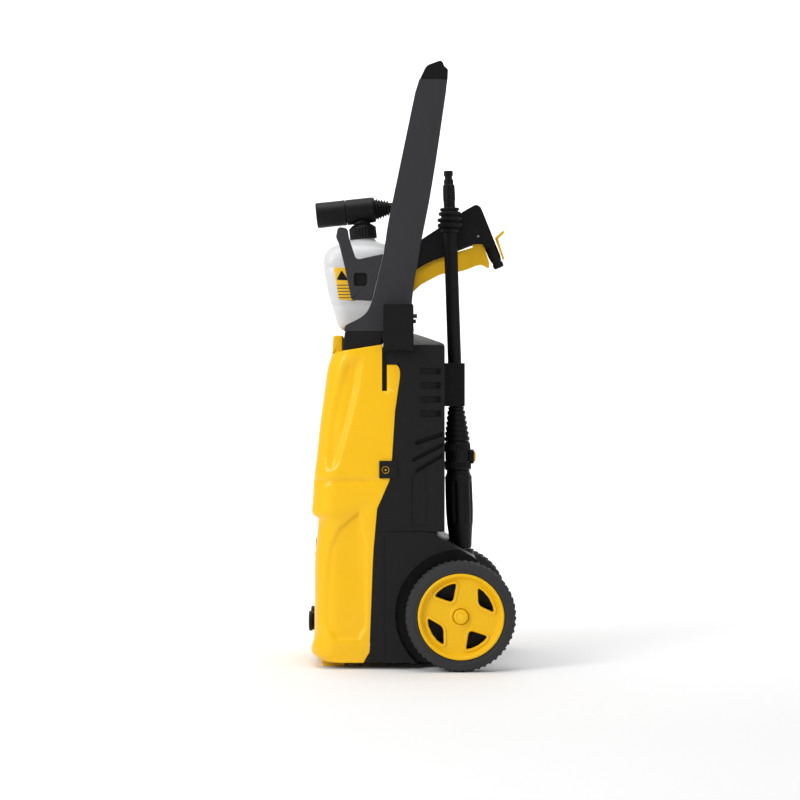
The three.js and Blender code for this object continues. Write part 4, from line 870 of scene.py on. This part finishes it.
def side_block(name, corners, middle_x, half, soft, around=64):
    """A side-view outline (y, z, corner radius) in millimetres carried across X with rounded rims."""
    loop = rounded_loop(corners, around)
    sections = []
    for inset, x in prism_rows(half, soft):
        here = grown(loop, -inset)
        sections.append(np.column_stack([np.full(around, middle_x + x), here]) * MM)
    return loft(name, sections)


lip = side_block(
    "cover_lip", [(-113.4, 445, 0), (-97.8, 448, 0), (-97.9, 475, 1.5), (-111.4, 475, 3)], 0.0, 80.9, 2.0)
dress(lip, "housing", "yellow_shell")
for side, out in SIDES:
    foot = side_block(
        "foot_" + side + "_block", [(-130, 14, 0), (-126.6, 0.0, 1.6), (-95.2, 0.0, 1.6), (-91, 14, 0)],
        out * 65.0, 13.0, 1.2)
    dress(foot, "housing", "yellow_shell")


# ---- Lance ----
# Nylon and brass spray lance: a plug with bayonet wings, a ringed coupling collar, a plain sheathed pipe, a
# ribbed reducer, the pressure selector with its yellow button, and the long grip sleeve round the nozzle.
JOINTS = {joint["name"]: joint for joint in frame["record"]["behaviour"]["joints"]}
LANCE_FOOT = np.array(JOINTS["nozzle_twist"]["pos_m"])
LANCE_AXIS = np.array(JOINTS["nozzle_twist"]["axis"])
BUTTON_HEIGHT, BUTTON_SLOPE, WING_HEIGHT = 133.2, 0.033, 514.9


def grip_flutes(count, depth, low, high):
    """Relief of shallow lengthwise flutes between two heights, fading at both ends."""
    def relief(height, angle):
        hold = eased((height - low) / 4.0) * eased((high - height) / 4.0)
        return -depth * hold * (0.5 - 0.5 * np.cos(count * angle)) ** 2
    return relief


def lance_part(name, profile, sides=96, soften=0.8, relief=None):
    """A piece turned about the lance's axis, with heights measured from the nozzle's end."""
    return turned(name + "_skin", profile, LANCE_FOOT, LANCE_AXIS, sides, soften, relief)


sleeve_profile = [
    (0, 26), (11, 26), (11.2, 0.8), (12.2, 0), (15.3, 0), (16.2, 3), (16.6, 12), (17.6, 24), (19.2, 38),
    (19.9, 52), (20.1, 66), (19.9, 70), (19.9, 84), (19.6, 98), (18.6, 106), (17.6, 109), (16.9, 110),
    (16.9, 113.8), (0, 113.8),
]
sleeve_rows = np.linspace(3, 105, 40)
sleeve_outer = np.interp(sleeve_rows, [p[1] for p in sleeve_profile[4:14]],
    [p[0] for p in sleeve_profile[4:14]])
sleeve_profile = sleeve_profile[:5] + list(zip(sleeve_outer, sleeve_rows)) + sleeve_profile[14:]
stands_for(
    lance_part("nozzle_sleeve", sleeve_profile, 144, 0.6, grip_flutes(9, 1.3, 36.0, 100.0)), "nozzle_sleeve")


def selector_relief(height, angle):
    """Coarse knurling in two bands round the selector."""
    low_band = eased((height - 117.0) / 1.5) * eased((127.0 - height) / 1.5)
    high_band = eased((height - 143.0) / 1.5) * eased((152.0 - height) / 1.5)
    knurl = 0.5 + 0.5 * powered(np.sin(30.0 * angle), 0.5)
    return -0.9 * (low_band + high_band) * knurl


selector_rows = [(19.4, h) for h in np.linspace(117, 127, 11)] + [(18.2, 128), (18.2, 141), (19.2, 142)] + [
    (19.2, h) for h in np.linspace(143, 152, 10)]
stands_for(lance_part(
    "selector_ring", [(0, 114.2), (17.6, 114.2), (19.2, 115.6), *selector_rows, (17.8, 154.6), (17.0, 156.7),
        (0, 156.7)],
    240, 0.3, selector_relief), "selector_ring")


def selector_button(name, width, rise, soften, slot, reach):
    """An oval button on the rear of the selector, standing off the ring along +Y."""
    count = 48
    angle = full_turn(count)
    centre = LANCE_FOOT + LANCE_AXIS * BUTTON_HEIGHT * MM
    sections = []
    turn = np.linspace(0, math.pi / 2, 6)
    dome = [(reach - soften + soften * math.sin(t), soften * (1 - math.cos(t))) for t in turn]
    for out, inset in [(12.0, 0.0), *dome]:
        wide = (width - inset) * powered(np.cos(angle), 0.7)
        tall = (rise - inset) * powered(np.sin(angle), 0.7)
        sections.append(centre + np.column_stack([wide, np.full(count, out), tall + out * BUTTON_SLOPE]) * MM)
    dress(loft(name, sections), "lance", slot)


selector_button("selector_boss", 10.5, 10.6, 1.2, "deep_black", 23.6)
selector_button("selector_button", 7.4, 7.6, 1.4, "rim_yellow", 26.2)

cone_profile = [(0, 157.1), (17.8, 157.1), (18.4, 157.8)]
for rib in range(6):
    foot = 158.0 + rib * 7.6
    outer = 18.4 - 1.05 * rib
    cone_profile += [(outer, foot), (outer, foot + 4.4), (outer - 1.9, foot + 5.2), (outer - 2.1, foot + 6.9)]
cone_profile += [(11.9, 203.8), (11.4, 206.7), (0, 206.7)]
stands_for(lance_part("lance_cone", cone_profile, 96, 0.5), "lance_cone")
PIPE_SEAT = 4.0  # how far the pipe's ends reach into the cone and the collar
pipe_foot, pipe_head = 207.1 - PIPE_SEAT, 461.1 + PIPE_SEAT
pipe_profile = [
    (0, pipe_foot), (10.0, pipe_foot), (10.0, 211.0), (9.9, 300.0), (9.9, 400.0), (10.0, 455.0),
    (10.0, pipe_head), (0, pipe_head)]
stands_for(lance_part("lance_pipe", pipe_profile), "lance_pipe")
collar_profile = [
    (0, 461.5), (12.6, 461.5), (13.4, 462.3), (13.4, 466.2), (12.2, 467), (12.2, 468.6), (17.6, 469.4),
    (18.4, 470.6), (18.4, 474.2), (17.2, 475.2), (14.4, 475.6), (14.4, 477.4), (17.6, 478), (18.4, 479),
    (18.4, 481.6), (17.2, 482.6), (13.0, 483.2), (13.0, 486.4), (15.8, 487), (16.4, 488), (16.4, 490.6),
    (15.6, 491.6), (12.4, 492.2), (12.4, 493.8), (14.2, 494.2), (14.2, 496.6), (13.4, 497.5), (0, 497.5),
]
stands_for(lance_part("lance_collar", collar_profile, 96, 0.35), "lance_collar")
plug_profile = [
    (0, 497.9), (8.4, 497.9), (8.5, 508), (9.0, 509), (9.0, 520), (8.6, 529.9), (8.6, 530.3), (7.6, 531.4),
    (7.0, 532), (7.0, 538.4), (6.6, 539), (5.5, 539.9), (5.5, 543.9), (6.2, 544.5), (6.7, 545.4), (6.7, 551),
    (6.1, 551.9), (3.4, 551.9), (3.0, 551.3), (3.0, 543.9), (0, 543.9),
]
stands_for(lance_part("lance_plug", plug_profile, 72, 0.3), "lance_plug")


def lance_wings():
    """The plug's two bayonet wings: one rounded bar through it, along X."""
    count = 40
    angle = full_turn(count)
    centre = LANCE_FOOT + LANCE_AXIS * WING_HEIGHT * MM
    sections = []
    for x, inset in [(-12, 1.0), (-11.7, 0.4), (-11, 0), (11, 0), (11.7, 0.4), (12, 1.0)]:
        y = (3.0 - inset) * powered(np.cos(angle), 0.5)
        z = (3.0 - inset) * powered(np.sin(angle), 0.5)
        sections.append(centre + np.column_stack([np.full(count, x), y, z]) * MM)
    dress(loft("lance_wings", sections), "lance", "deep_black")


lance_wings()
peg_foot = box_middle("lance_peg")
peg_foot.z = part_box("lance_peg")[0].z
stands_for(turned(
    "lance_peg_skin", [(0, 0), (4, 0), (4, 11), (3.4, 14), (2.0, 15.9), (0, 16)], peg_foot, (0, 0, 1), 48,
    0.6),
    "lance_peg")


# ---- Foam bottle and head ----
# A blown polyethylene bottle with a threaded neck, a ribbed screw cap, a dip tube, and a foam head across it,
# whose smooth front barrel turns to change the fan of foam.
NECK_FOOT = np.array([0.0, -0.069, 0.617])
NECK_AXIS = np.array(JOINTS["foam_lift"]["axis"])
BARREL_FOOT = np.array(JOINTS["foam_nozzle_twist"]["pos_m"])
BARREL_AXIS = np.array(JOINTS["foam_nozzle_twist"]["axis"])
BOTTLE_RINGS = (520.0, 575.0)  # heights of the two shallow grooves round the body
BOTTLE_FOOT = 0.4866  # in metres, just over the lowest level
BOTTLE_WALL = 1.4  # grown outwards from the levels' surface
FILM_ROOT = 1.1  # where in that wall, measured outwards, the label's film starts
BOTTLE_LEVELS = [
    # height, front Y, rear Y, half width, squareness
    (486.3, -97, -42, 31, 3.2), (487.0, -101, -38, 35, 3.4), (489.5, -104.5, -34, 38, 3.8),
    (494, -106.8, -31.2, 39.4, 4.4), (502, -109, -29.3, 39.8, 5.0), (515, -113, -27.4, 40.2, 5.2),
    (531, -118, -26.6, 40.6, 5.2), (548, -121.5, -25.6, 41.0, 5.2), (565, -124.8, -24.6, 41.3, 5.2),
    (578, -126.6, -23.6, 41.4, 5.0), (588, -127.0, -22.9, 41.4, 4.6), (594, -125.8, -23.2, 40.4, 4.2),
    (600, -122.4, -25.6, 37.8, 3.8), (605, -117.4, -30.0, 33.6, 3.3), (609, -110.0, -36.0, 28.2, 2.8),
    (612.4, -100.5, -43.0, 22.6, 2.4), (614.6, -93.0, -48.6, 18.6, 2.1), (616.4, -88.4, -51.4, 16.4, 2.0),
    (618.6, -86.4, -53.6, 15.4, 2.0),
]


def bottle_skin():
    """Level superellipses up the body and shoulder, then rings with three beads along the leaning neck."""
    levels = np.array(BOTTLE_LEVELS)
    share = np.linspace(0, len(levels) - 1, 130)
    index = np.arange(len(levels))
    rows = np.column_stack([np.interp(share, index, levels[:, k]) for k in range(5)])
    kernel = np.array([1, 2, 3, 2, 1]) / 9.0
    for k in range(1, 5):
        padded = np.concatenate([[rows[0, k]] * 2, rows[:, k], [rows[-1, k]] * 2])
        rows[:, k] = np.convolve(padded, kernel, "valid")
    angle = full_turn(120)
    sections = []
    for height, front, rear, half, square in rows:
        across = powered(np.cos(angle), 2 / square) * half
        along = powered(np.sin(angle), 2 / square) * (rear - front) / 2
        waist = 0.8 * sum(math.exp(-((height - ring) / 4.0) ** 2) for ring in BOTTLE_RINGS)
        across *= 1 - waist / half
        along *= 1 - waist / half
        sections.append(np.column_stack([across, along + (front + rear) / 2,
            np.full(len(angle), height)]) * MM)
    neck = [
        (15.0, 2.6), (14.6, 3.4), (14.6, 4.6), (15.0, 5.2), (14.6, 5.8), (14.6, 7.4), (15.0, 8.0),
        (14.6, 8.6), (14.4, 11.2), (13.9, 12.0), (13.2, 12.0), (13.0, 11.4),
    ]
    for radius, height in neck:
        radii, heights = np.full(len(angle), radius * MM), np.full(len(angle), height * MM)
        sections.append(swept(NECK_FOOT, NECK_AXIS, radii, heights, -angle + math.pi / 2))
    piece = loft("foam_bottle_skin", sections, close_ends=False)
    shape = bmesh.new()
    shape.from_mesh(piece.data)
    edges = [e for e in shape.edges if e.is_boundary and all(v.co.z < BOTTLE_FOOT for v in e.verts)]
    made = bmesh.ops.contextual_create(shape, geom=edges)
    bmesh.ops.inset_region(shape, faces=made["faces"], thickness=0.006, depth=0.0)
    bmesh.ops.translate(shape, verts=[v for f in made["faces"] for v in f.verts], vec=(0, 0, 0.003))
    bmesh.ops.recalc_face_normals(shape, faces=shape.faces)
    shape.to_mesh(piece.data)
    shape.free()
    piece.data.shade_smooth()
    wall = piece.modifiers.new("wall", "SOLIDIFY")
    wall.thickness = BOTTLE_WALL * MM
    wall.offset = -1.0
    return stands_for(piece, "foam_bottle")


bottle_skin()


def cap_ribs(height, angle):
    """Fine upright grip ribs on the skirt of the cap."""
    hold = eased((height - 3.2) / 1.2) * eased((19.0 - height) / 1.5)
    return -0.9 * hold * eased((np.sin(28.0 * angle) + 0.35) * 1.4)


cap_rows = [(20.0, h) for h in np.linspace(4.2, 18.2, 9)]
stands_for(turned(
    "bottle_cap_skin",
    [(15.6, 2.2), (19.4, 2.2), (20.0, 3.0), *cap_rows, (19.4, 19.6), (18.4, 20.4), (17.4, 20.8), (16.4, 22.2),
        (14.0, 23.6), (3.6, 24.0),
     (3.5, 12.6), (15.6, 12.6), (15.6, 2.2)],
    NECK_FOOT, NECK_AXIS, 224, 0.3, cap_ribs), "bottle_cap")
stands_for(turned(
    "dip_tube_skin", [(0, -122.6), (2.0, -122.6), (3.0, -121.9), (3.0, 23.4), (2.4, 24.0), (0, 24.0)],
    NECK_FOOT, NECK_AXIS, 32, 0.2), "dip_tube")
barrel_profile = [
    (0, 14), (9.2, 14), (10.4, 9), (13.4, 1.2), (14.6, 0.2), (17.4, 0.2), (18.5, 1.2), (18.8, 2.6),
    (18.8, 12), (18.6, 14), (18.6, 38), (18.8, 40), (18.8, 43.4), (18.2, 44), (0, 44),
]
stands_for(turned("foam_barrel_skin", barrel_profile, BARREL_FOOT, BARREL_AXIS, 112, 0.8), "foam_barrel")
head_profile = [(0, 44.4), (18.0, 44.4), (18.7, 45.1), (18.7, 84), (18.0, 86.4), (16.2, 87.4)]
for groove in range(5):
    start, outer = 88.0 + 3.9 * groove, 15.8 - 1.15 * groove
    head_profile += [(outer - 1.9, start), (outer - 1.9, start + 1.3), (outer, start + 1.8),
        (outer - 0.2, start + 3.2)]
head_profile += [(8.0, 108.0), (7.8, 112.8), (6.5, 113.8), (6.5, 115.0), (7.2, 115.6), (7.2, 117.4),
    (6.5, 118.0), (6.5, 120.6), (5.9, 121.4), (0, 121.4)]
stands_for(turned("foam_head_skin", head_profile, BARREL_FOOT, BARREL_AXIS, 112, 0.4), "foam_head")
stem = turned(
    "foam_head_stem", [(0, 24.4), (12.2, 24.4), (13.0, 25.2), (13.0, 27.8), (11.8, 28.6), (11.8, 30.2),
        (13.0, 31.0), (13.0, 42.0), (0, 42.0)],
    NECK_FOOT, NECK_AXIS, 72, 0.4)
dress(stem, "foam_set", "deep_black")


def label_paint():
    """A glossy yellow film printed with plain black bars, without words."""
    board = Board("label_film")
    split = board.node("ShaderNodeSeparateXYZ", {}, {0: board.place}, 2)
    lines = board.node("ShaderNodeMath", {"operation": "FRACT"}, {0: split * 220.0})
    printed = board.step(split, 0.526, 0.5265) * (1 - board.step(split, 0.552, 0.5525))
    field = board.step(lines, 0.62, 0.68) * printed
    board.shade(
        base_color=board.blend(field * 0.85, rgba(0.90, 0.52, 0.01), rgba(0.02, 0.018, 0.016)),
        roughness=0.32 + board.noise(60.0) * 0.08,
    )
    return board.material


def bottle_flank(y, z):
    """Half width in millimetres of the bottle at a place of the side view: its superellipse solved for X."""
    levels = np.array(BOTTLE_LEVELS)
    front, rear, half, square = (np.interp(z, levels[:, 0], levels[:, k]) for k in (1, 2, 3, 4))
    share = np.abs((y - (front + rear) / 2) / ((rear - front) / 2))
    return half * (1 - np.minimum(share, 0.999) ** square) ** (1 / square)


def flank_sheet(name, loop, lift, slot, material=None):
    """A closed film on the bottle's left flank inside a loop of (y, z), its face at flank + wall + lift."""
    patch = Patchwork()
    centre = loop.mean(axis=0)
    rings = [centre + (loop - centre) * share for share in np.linspace(1.0, 0.02, 16)]
    outer = [np.column_stack([bottle_flank(r[:, 0], r[:, 1]) + BOTTLE_WALL + lift, r]) * MM for r in rings]
    inner = [np.column_stack([bottle_flank(r[:, 0], r[:, 1]) + FILM_ROOT, r]) * MM for r in rings]
    patch.loops(outer)
    patch.loops(inner[::-1])
    patch.loops([inner[0], outer[0]])
    patch.loops([outer[-1], inner[-1]])
    piece = patch.build(name)
    piece.data.shade_smooth()
    dress(piece, "foam_set", slot, material)


def bottle_label():
    """A tilted rounded film on the bottle's left flank, with a triangular mark above its printed bars."""
    corners = [(-104.5, 528.5, 2.0), (-80.0, 526.0, 2.0), (-86.0, 574.0, 2.0), (-111.8, 575.0, 2.0)]
    flank_sheet("bottle_label", rounded_loop(corners, 96), 0.35, "yellow_shell", label_paint())
    mark = [(-108.0, 557.0, 1.5), (-90.0, 556.0, 1.5), (-100.5, 571.0, 1.5)]
    flank_sheet("label_mark", rounded_loop(mark, 60), 0.5, "deep_black")


bottle_label()


# ---- Front switch and water connectors ----
# A detented rotary switch in a bezel ring, and beside the feet two nylon hose connectors with a coarse
# bayonet thread and a collar; their sockets are open to the front.
switch_centre = box_middle("switch_bezel")
BEZEL_FOOT = (switch_centre.x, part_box("switch_bezel")[1].y, switch_centre.z)
FORWARD = (0.0, -1.0, 0.0)
CONNECTOR_REACH = 20.0


def notches(count, depth, low, high):
    """Relief of even rounded notches round a rim between two heights."""
    def relief(height, angle):
        hold = -depth * eased((height - low) / 0.5) * eased((high - height) / 0.5)
        return hold * eased(np.sin(count * angle) * 2.0)
    return relief


stands_for(turned(
    "switch_bezel_skin", [(22.4, 0), (25.0, 0), (25.6, 0.8), (25.6, 8.6), (24.8, 10.2), (23.4, 11.0),
        (22.8, 10.6), (22.4, 9.4), (22.4, 0)],
    BEZEL_FOOT, FORWARD, 120, 0.3, notches(36, 0.5, 2.0, 8.0)), "switch_bezel")
KNOB_FOOT = (switch_centre.x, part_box("switch_knob")[1].y, switch_centre.z)
stands_for(turned(
    "switch_knob_skin", [(0, 0), (20.8, 0), (21.4, 0.6), (21.4, 4.6), (20.6, 6.0), (19.4, 6.5), (16.0, 6.3),
        (0, 5.9)],
    KNOB_FOOT, FORWARD, 120, 0.3, notches(24, 0.4, 0.8, 4.4)), "switch_knob")


def switch_grip():
    """The knob's finger bar: a waisted stadium whose sections shrink towards its front."""
    count = 96
    angle = full_turn(count)
    sections = []
    for forward, inset in ((5.0, 0.0), (8.6, 0.2), (10.0, 0.7), (10.8, 1.6), (11.0, 2.6)):
        across = (19.4 - inset) * powered(np.cos(angle), 0.6)
        waist = 1.0 - 0.22 * np.exp(-(across / 9.0) ** 2)
        tall = (4.5 - inset * 0.7) * powered(np.sin(angle), 0.6) * waist
        sections.append(np.column_stack([
            across + KNOB_FOOT[0] / MM, np.full(count, KNOB_FOOT[1] / MM - forward),
            tall + KNOB_FOOT[2] / MM]) * MM)
    dress(loft("switch_grip", sections), "switch", "rim_yellow")


switch_grip()
for node in ("outlet_connector", "inlet_connector"):
    low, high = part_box(node)
    middle = box_middle(node)
    thread = []
    for foot in np.arange(6.6, 13.4, 2.2):
        thread += [(12.6, foot), (12.6, foot + 0.7), (13.6, foot + 1.1), (13.6, foot + 1.5)]
    profile = [
        (0, -6), (9.7, -6), (9.7, 0), (13.9, 0), (14.7, 0.8), (14.7, 4.6), (13.9, 5.4), (12.6, 5.8), *thread,
        (12.6, 14.2), (13.8, 14.8), (14.6, 15.6), (14.6, 18.4), (13.8, 19.6), (12.8, 20.0), (8.4, 20.0),
        (7.4, 19.4), (6.6, 18.0), (6.5, 4.2), (0, 4.0),
    ]
    stands_for(turned(node + "_skin", profile, (middle.x, low.y + CONNECTOR_REACH * MM, middle.z), FORWARD,
        96, 0.25), node)
for node in ("outlet_tube", "inlet_tube"):
    low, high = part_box(node)
    length = (high.y - low.y) / MM
    middle = box_middle(node)
    half_profile = [(0, 0), (7.2, 0), (8.0, 0.8), (8.0, 5), (7.0, 6)]
    profile = half_profile + [(r, length - h) for r, h in reversed(half_profile)]
    stands_for(turned(node + "_skin", profile, (middle.x, low.y, middle.z), (0, 1, 0), 48, 0.5), node)


# ---- Screws, axle and cable gland ----
# Dark metal pan-head screws with a cross recess hold the cover; the axle is a bright steel rod with two
# shoulders, and the cable gland is a ribbed rubber bush in the rear of the base.
# The screws take a dark metal, darker than the steel that their slot names.
dark_screw_metal = metal("dark_screw_metal", rgba(0.03, 0.03, 0.032), 0.42, False)
HEAD_RIM = 5.6


def cross_recess(height, angle):
    """Four shallow arms pressed into the head above its rim."""
    arms = -0.45 * eased((np.cos(4.0 * angle) - 0.55) * 3.0) * eased((height - HEAD_RIM) / 0.8)
    return np.where(height > HEAD_RIM, arms, 0.0)


for side, out in SIDES:
    node = "cover_screw_" + side
    profile = [(0, 0), (2.2, 0), (3.0, 0.8)]
    profile += [(r, h) for h in np.arange(1.0, 3.4, 1.0) for r, h in ((3.0, h), (2.5, h + 0.5))]
    profile += [(3.0, 4.0), (4.8, 4.1), (5.0, 4.5), (5.0, 5.6), (4.6, 6.6), (3.4, 7.2), (2.2, 7.4),
        (1.7, 7.3), (1.2, 6.4), (0, 6.2)]
    screw = turned(node + "_skin", profile, inner_spot(node, out), (out, 0, 0), 64, 0.15, cross_recess)
    stands_for(screw, node, dark_screw_metal)

low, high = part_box("axle")
middle = box_middle("axle")
reach = (high.x - low.x) / MM
axle_profile = [(0, 0), (4.2, 0), (5.0, 0.9), (5.0, 3.6), (4.3, 4.0), (4.3, 5.2), (5.0, 5.6), (5.0, 32.0),
    (8.6, 32.0), (9.0, 32.5), (9.0, 34.6), (8.6, 35.0), (5.0, 35.0)]
axle_profile += [(r, reach - h) for r, h in reversed(axle_profile)]
stands_for(turned("axle_skin", axle_profile, (low.x, middle.y, middle.z), (1, 0, 0), 64, 0.2), "axle")

low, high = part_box("cable_gland")
middle = box_middle("cable_gland")
gland_profile = [(3.6, 0), (7.6, 0), (8.0, 0.5), (8.0, 14.6), (8.4, 15.0), (10.4, 15.0), (11.0, 15.6),
    (11.0, 18.4), (10.4, 19.0), (9.4, 19.2)]
for rib in range(4):
    outer, inner, rise = 8.6 - 0.55 * rib, 7.2 - 0.5 * rib, 3.0 * rib
    gland_profile += [(outer, 20.0 + rise), (outer, 21.6 + rise), (inner, 22.0 + rise), (inner, 22.8 + rise)]
gland_profile += [(6.0, 31.4), (5.4, 32.0), (4.2, 32.0), (3.6, 31.4), (3.6, 0)]
stands_for(turned("cable_gland_skin", gland_profile, (middle.x, low.y, middle.z), (0, 1, 0), 72, 0.2),
    "cable_gland")


# ---- Motor and pump ----
# An induction motor stands on a die-cast axial pump: swash plate, three pistons, pump body and pump head.
# A moulded fan on the shaft draws air through the vents; the switch box and the base plate are here too.
MOTOR_AXIS = (0.0, 0.0, 1.0)


def upright(node, profile, sides=96, soften=0.8, relief=None):
    """A node turned about its own upright axis, with heights measured from its lowest point."""
    low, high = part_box(node)
    middle = box_middle(node)
    return stands_for(turned(node + "_skin", profile, (middle.x, middle.y, low.z), MOTOR_AXIS, sides, soften,
        relief), node)


def cooling_fins(height, angle):
    """Upright fins round the motor's middle."""
    hold = -2.2 * eased((height - 10.0) / 3.0) * eased((127.0 - height) / 3.0)
    return hold * eased((np.sin(36.0 * angle) + 0.2) * 2.0)


can_rows = [(52.0, h) for h in np.linspace(8.6, 128.4, 14)]
upright("motor_body", [
    (6.6, 0), (45.0, 0), (46.0, 1.0), (46.0, 7.6), (47.0, 8.0), (51.0, 8.0), *can_rows, (51.0, 129.0),
    (47.0, 129.0), (46.0, 129.6), (46.0, 136.0), (45.0, 137.0), (6.6, 137.0), (6.6, 130.0), (30.0, 130.0),
    (30.0, 7.0), (6.6, 7.0), (6.6, 0),
], 288, 0.3, cooling_fins)
for index in (1, 2, 3):
    low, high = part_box("piston_%d" % index)
    length = (high.z - low.z) / MM
    upright("piston_%d" % index, [
        (0, 0), (5.8, 0), (7.0, 1.2), (7.0, 4), (6.4, 4.4), (6.4, 5.6), (7.0, 6), (7.0, length - 3),
        (5.6, length - 1.0), (3.2, length), (0, length)], 48, 0.2)
low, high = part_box("rotor_shaft")
shaft_length = (high.z - low.z) / MM
core_low, core_high = 20.2, 131.6
upright("rotor_shaft", [
    (0, 0), (5.2, 0), (6.0, 0.9), (6.0, core_low), (28.6, core_low), (29.3, core_low + 0.8),
    (29.3, core_high - 0.8), (28.6, core_high), (6.0, core_high), (6.0, shaft_length - 0.9),
    (5.2, shaft_length), (0, shaft_length)],
    72, 0.3)
for name, radius in {
    "pump_head": 0.0015, "pump_body": 0.0012, "swash_plate": 0.0008, "cooling_fan": 0.0005,
    "switch_box": 0.0012,
    "base_plate": 0.001,
}.items():
    moulded_copy(name, radius)


# ---- Handle, cradle, gun, shells and other plain mouldings ----
# Glass-filled nylon and ABS mouldings, screwed or clipped together: the arms and grip, the bottle's cradle,
# the cord hooks, the gun with its trigger and lock, the lance clip, the rear shell and the base.
for name, radius in {
    "handle_arm_left": 0.0022, "handle_arm_right": 0.0022, "handle_grip": 0.002,
    "cradle_plate_left": 0.0018, "cradle_plate_right": 0.0018, "cradle_floor": 0.0015,
    "cord_hook_left": 0.0018, "cord_hook_right": 0.0018, "gun_holder": 0.001,
    "gun_body": 0.003, "gun_trigger": 0.0015, "gun_lock": 0.0006, "lance_clip": 0.001,
    "rear_shell": 0.0012, "base_housing": 0.0015,
}.items():
    moulded_copy(name, radius)


# ---- Vent screens, slot strips and louvre linings ----
# Black polyester screens stand behind the slanted vents, strips of the inner frame close the cover's upright
# slots, and three fine bars cross each louvre.
LOUVRE_TOPS = (428.0, 408.0, 388.0, 368.0)
BAR_PITCH, BAR_WIDTH, BAR_FRONT, BAR_REAR = 2.9, 1.1, 14.6, 34.2


def black_part(name, corners, middle_x, half, soft):
    """A black side-view block fixed to the housing."""
    dress(side_block(name, corners, middle_x, half, soft), "housing", "deep_black")


for side, out in SIDES:
    black_part(
        "vent_screen_" + side, [(-36, 276, 3), (44.4, 276, 3), (44.4, 441, 3), (-36, 441, 3)], out * 107.0,
        1.0, 0.3)
    black_part(
        "slot_strip_" + side, [(-42.5, 387, 1), (-33.2, 387, 1), (-33.2, 458.5, 1), (-42.5, 457, 1)],
        out * 110.2, 1.3, 0.3)
    for count, top in enumerate(LOUVRE_TOPS):
        for bar in range(3):
            foot = top - 8.6 + BAR_PITCH * bar
            head = foot + BAR_WIDTH
            black_part(
                "louvre_bar_%s_%d_%d" % (side, count + 1, bar + 1),
                [(BAR_FRONT, foot, 0.4), (BAR_REAR, foot, 0.4), (BAR_REAR, head, 0.4),
                    (BAR_FRONT, head, 0.4)],
                out * 114.0, 0.65, 0.25)


# ---- Cradle details ----
# Each cradle plate has a blind square pocket whose floor is a black sheet of painted shade, and a low rim
# moulded with the plate stands round it.
RIM_POINTS = 80
for side, out in SIDES:
    pocket = [(-80.6, 544.8, 4.4), (-63.0, 544.8, 4.4), (-63.0, 562.6, 4.4), (-80.6, 562.6, 4.4)]
    # The pocket's black floor is painted shade, darker than the grey plate round it.
    black_part("pocket_shade_" + side, pocket, out * 100.35, 0.3, 0.1)
    loop = rounded_loop([(-83.2, 542.4, 6), (-60.6, 542.4, 6), (-60.6, 565.0, 6), (-83.2, 565.0, 6)],
        RIM_POINTS)
    inside = rounded_loop([(-81.4, 544.1, 5), (-62.1, 544.1, 5), (-62.1, 563.4, 5), (-81.4, 563.4, 5)],
        RIM_POINTS)
    patch = Patchwork()
    rings = (
        (loop, 104.7), (grown(loop, -0.2), 104.85), (grown(loop, -0.6), 104.98), (grown(inside, 0.4), 104.98),
        (inside, 104.7), (grown(inside, -0.1), 100.6),
    )
    patch.loops([np.column_stack([np.full(RIM_POINTS, out * x), ring]) * MM for ring, x in rings])
    dress(patch.build("pocket_rim_" + side), "housing", "handle_grey")


# ---- Gun details ----
# The short nylon barrel, with a blind bore in its end, leaves a moulded socket at the rear of the gun.
# A bright steel pin through the body carries the trigger.
BARREL_HEAD = np.array([-16.0, 119.0, 608.4]) * MM
BARREL_DOWN = np.array([0.0, 13.0, -31.0])
barrel_skin = turned("gun_barrel_skin", [
    (0, 1), (7.4, 1), (8.0, 1.6), (8.0, 21.4), (7.0, 22.4), (7.0, 25.0), (8.0, 25.8), (8.0, 30.8),
    (6.8, 32.8), (4.6, 33.0), (4.0, 32.4), (4.0, 22.4), (0, 22.0)], BARREL_HEAD, BARREL_DOWN, 72, 0.3)
stands_for(barrel_skin, "gun_barrel")
socket = turned(
    "gun_socket", [(8.2, -4), (8.9, -3.4), (8.9, 12.0), (8.6, 17.6), (8.15, 18.4), (8.15, -4), (8.2, -4)],
    BARREL_HEAD, BARREL_DOWN, 72, 0.2)
dress(socket, "gun", "deep_black")
pin_low, pin_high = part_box("trigger_pin")
pin_middle = box_middle("trigger_pin")
pin_length = (pin_high.x - pin_low.x) / MM
stands_for(turned(
    "trigger_pin_skin", [(0, 0), (1.4, 0), (2.0, 0.6), (2.0, pin_length - 0.6), (1.4, pin_length),
        (0, pin_length)],
    (pin_low.x, pin_middle.y, pin_middle.z), (1, 0, 0), 40, 0.2), "trigger_pin")


# ---- Wheel shade discs ----
# A thin black disc of painted shade, seated inside each wheel's drum and turning with it, closes the inner
# side, so no light passes through the windows and they read dark.
for side, out in SIDES:
    disc = turned("shade_disc_" + side, [
        (17.4, 4.0), (30.0, 4.4), (40.0, 5.0), (52.0, 5.4), (55.6, 5.2), (56.0, 5.8), (55.4, 6.8),
        (52.0, 6.8), (40.0, 6.4), (30.0, 5.8), (17.4, 5.4), (17.4, 4.0)], inner_spot("rim_" + side, out),
        (out, 0, 0), 96,
        0.3)
    dress(disc, "wheel_" + side, "deep_black")
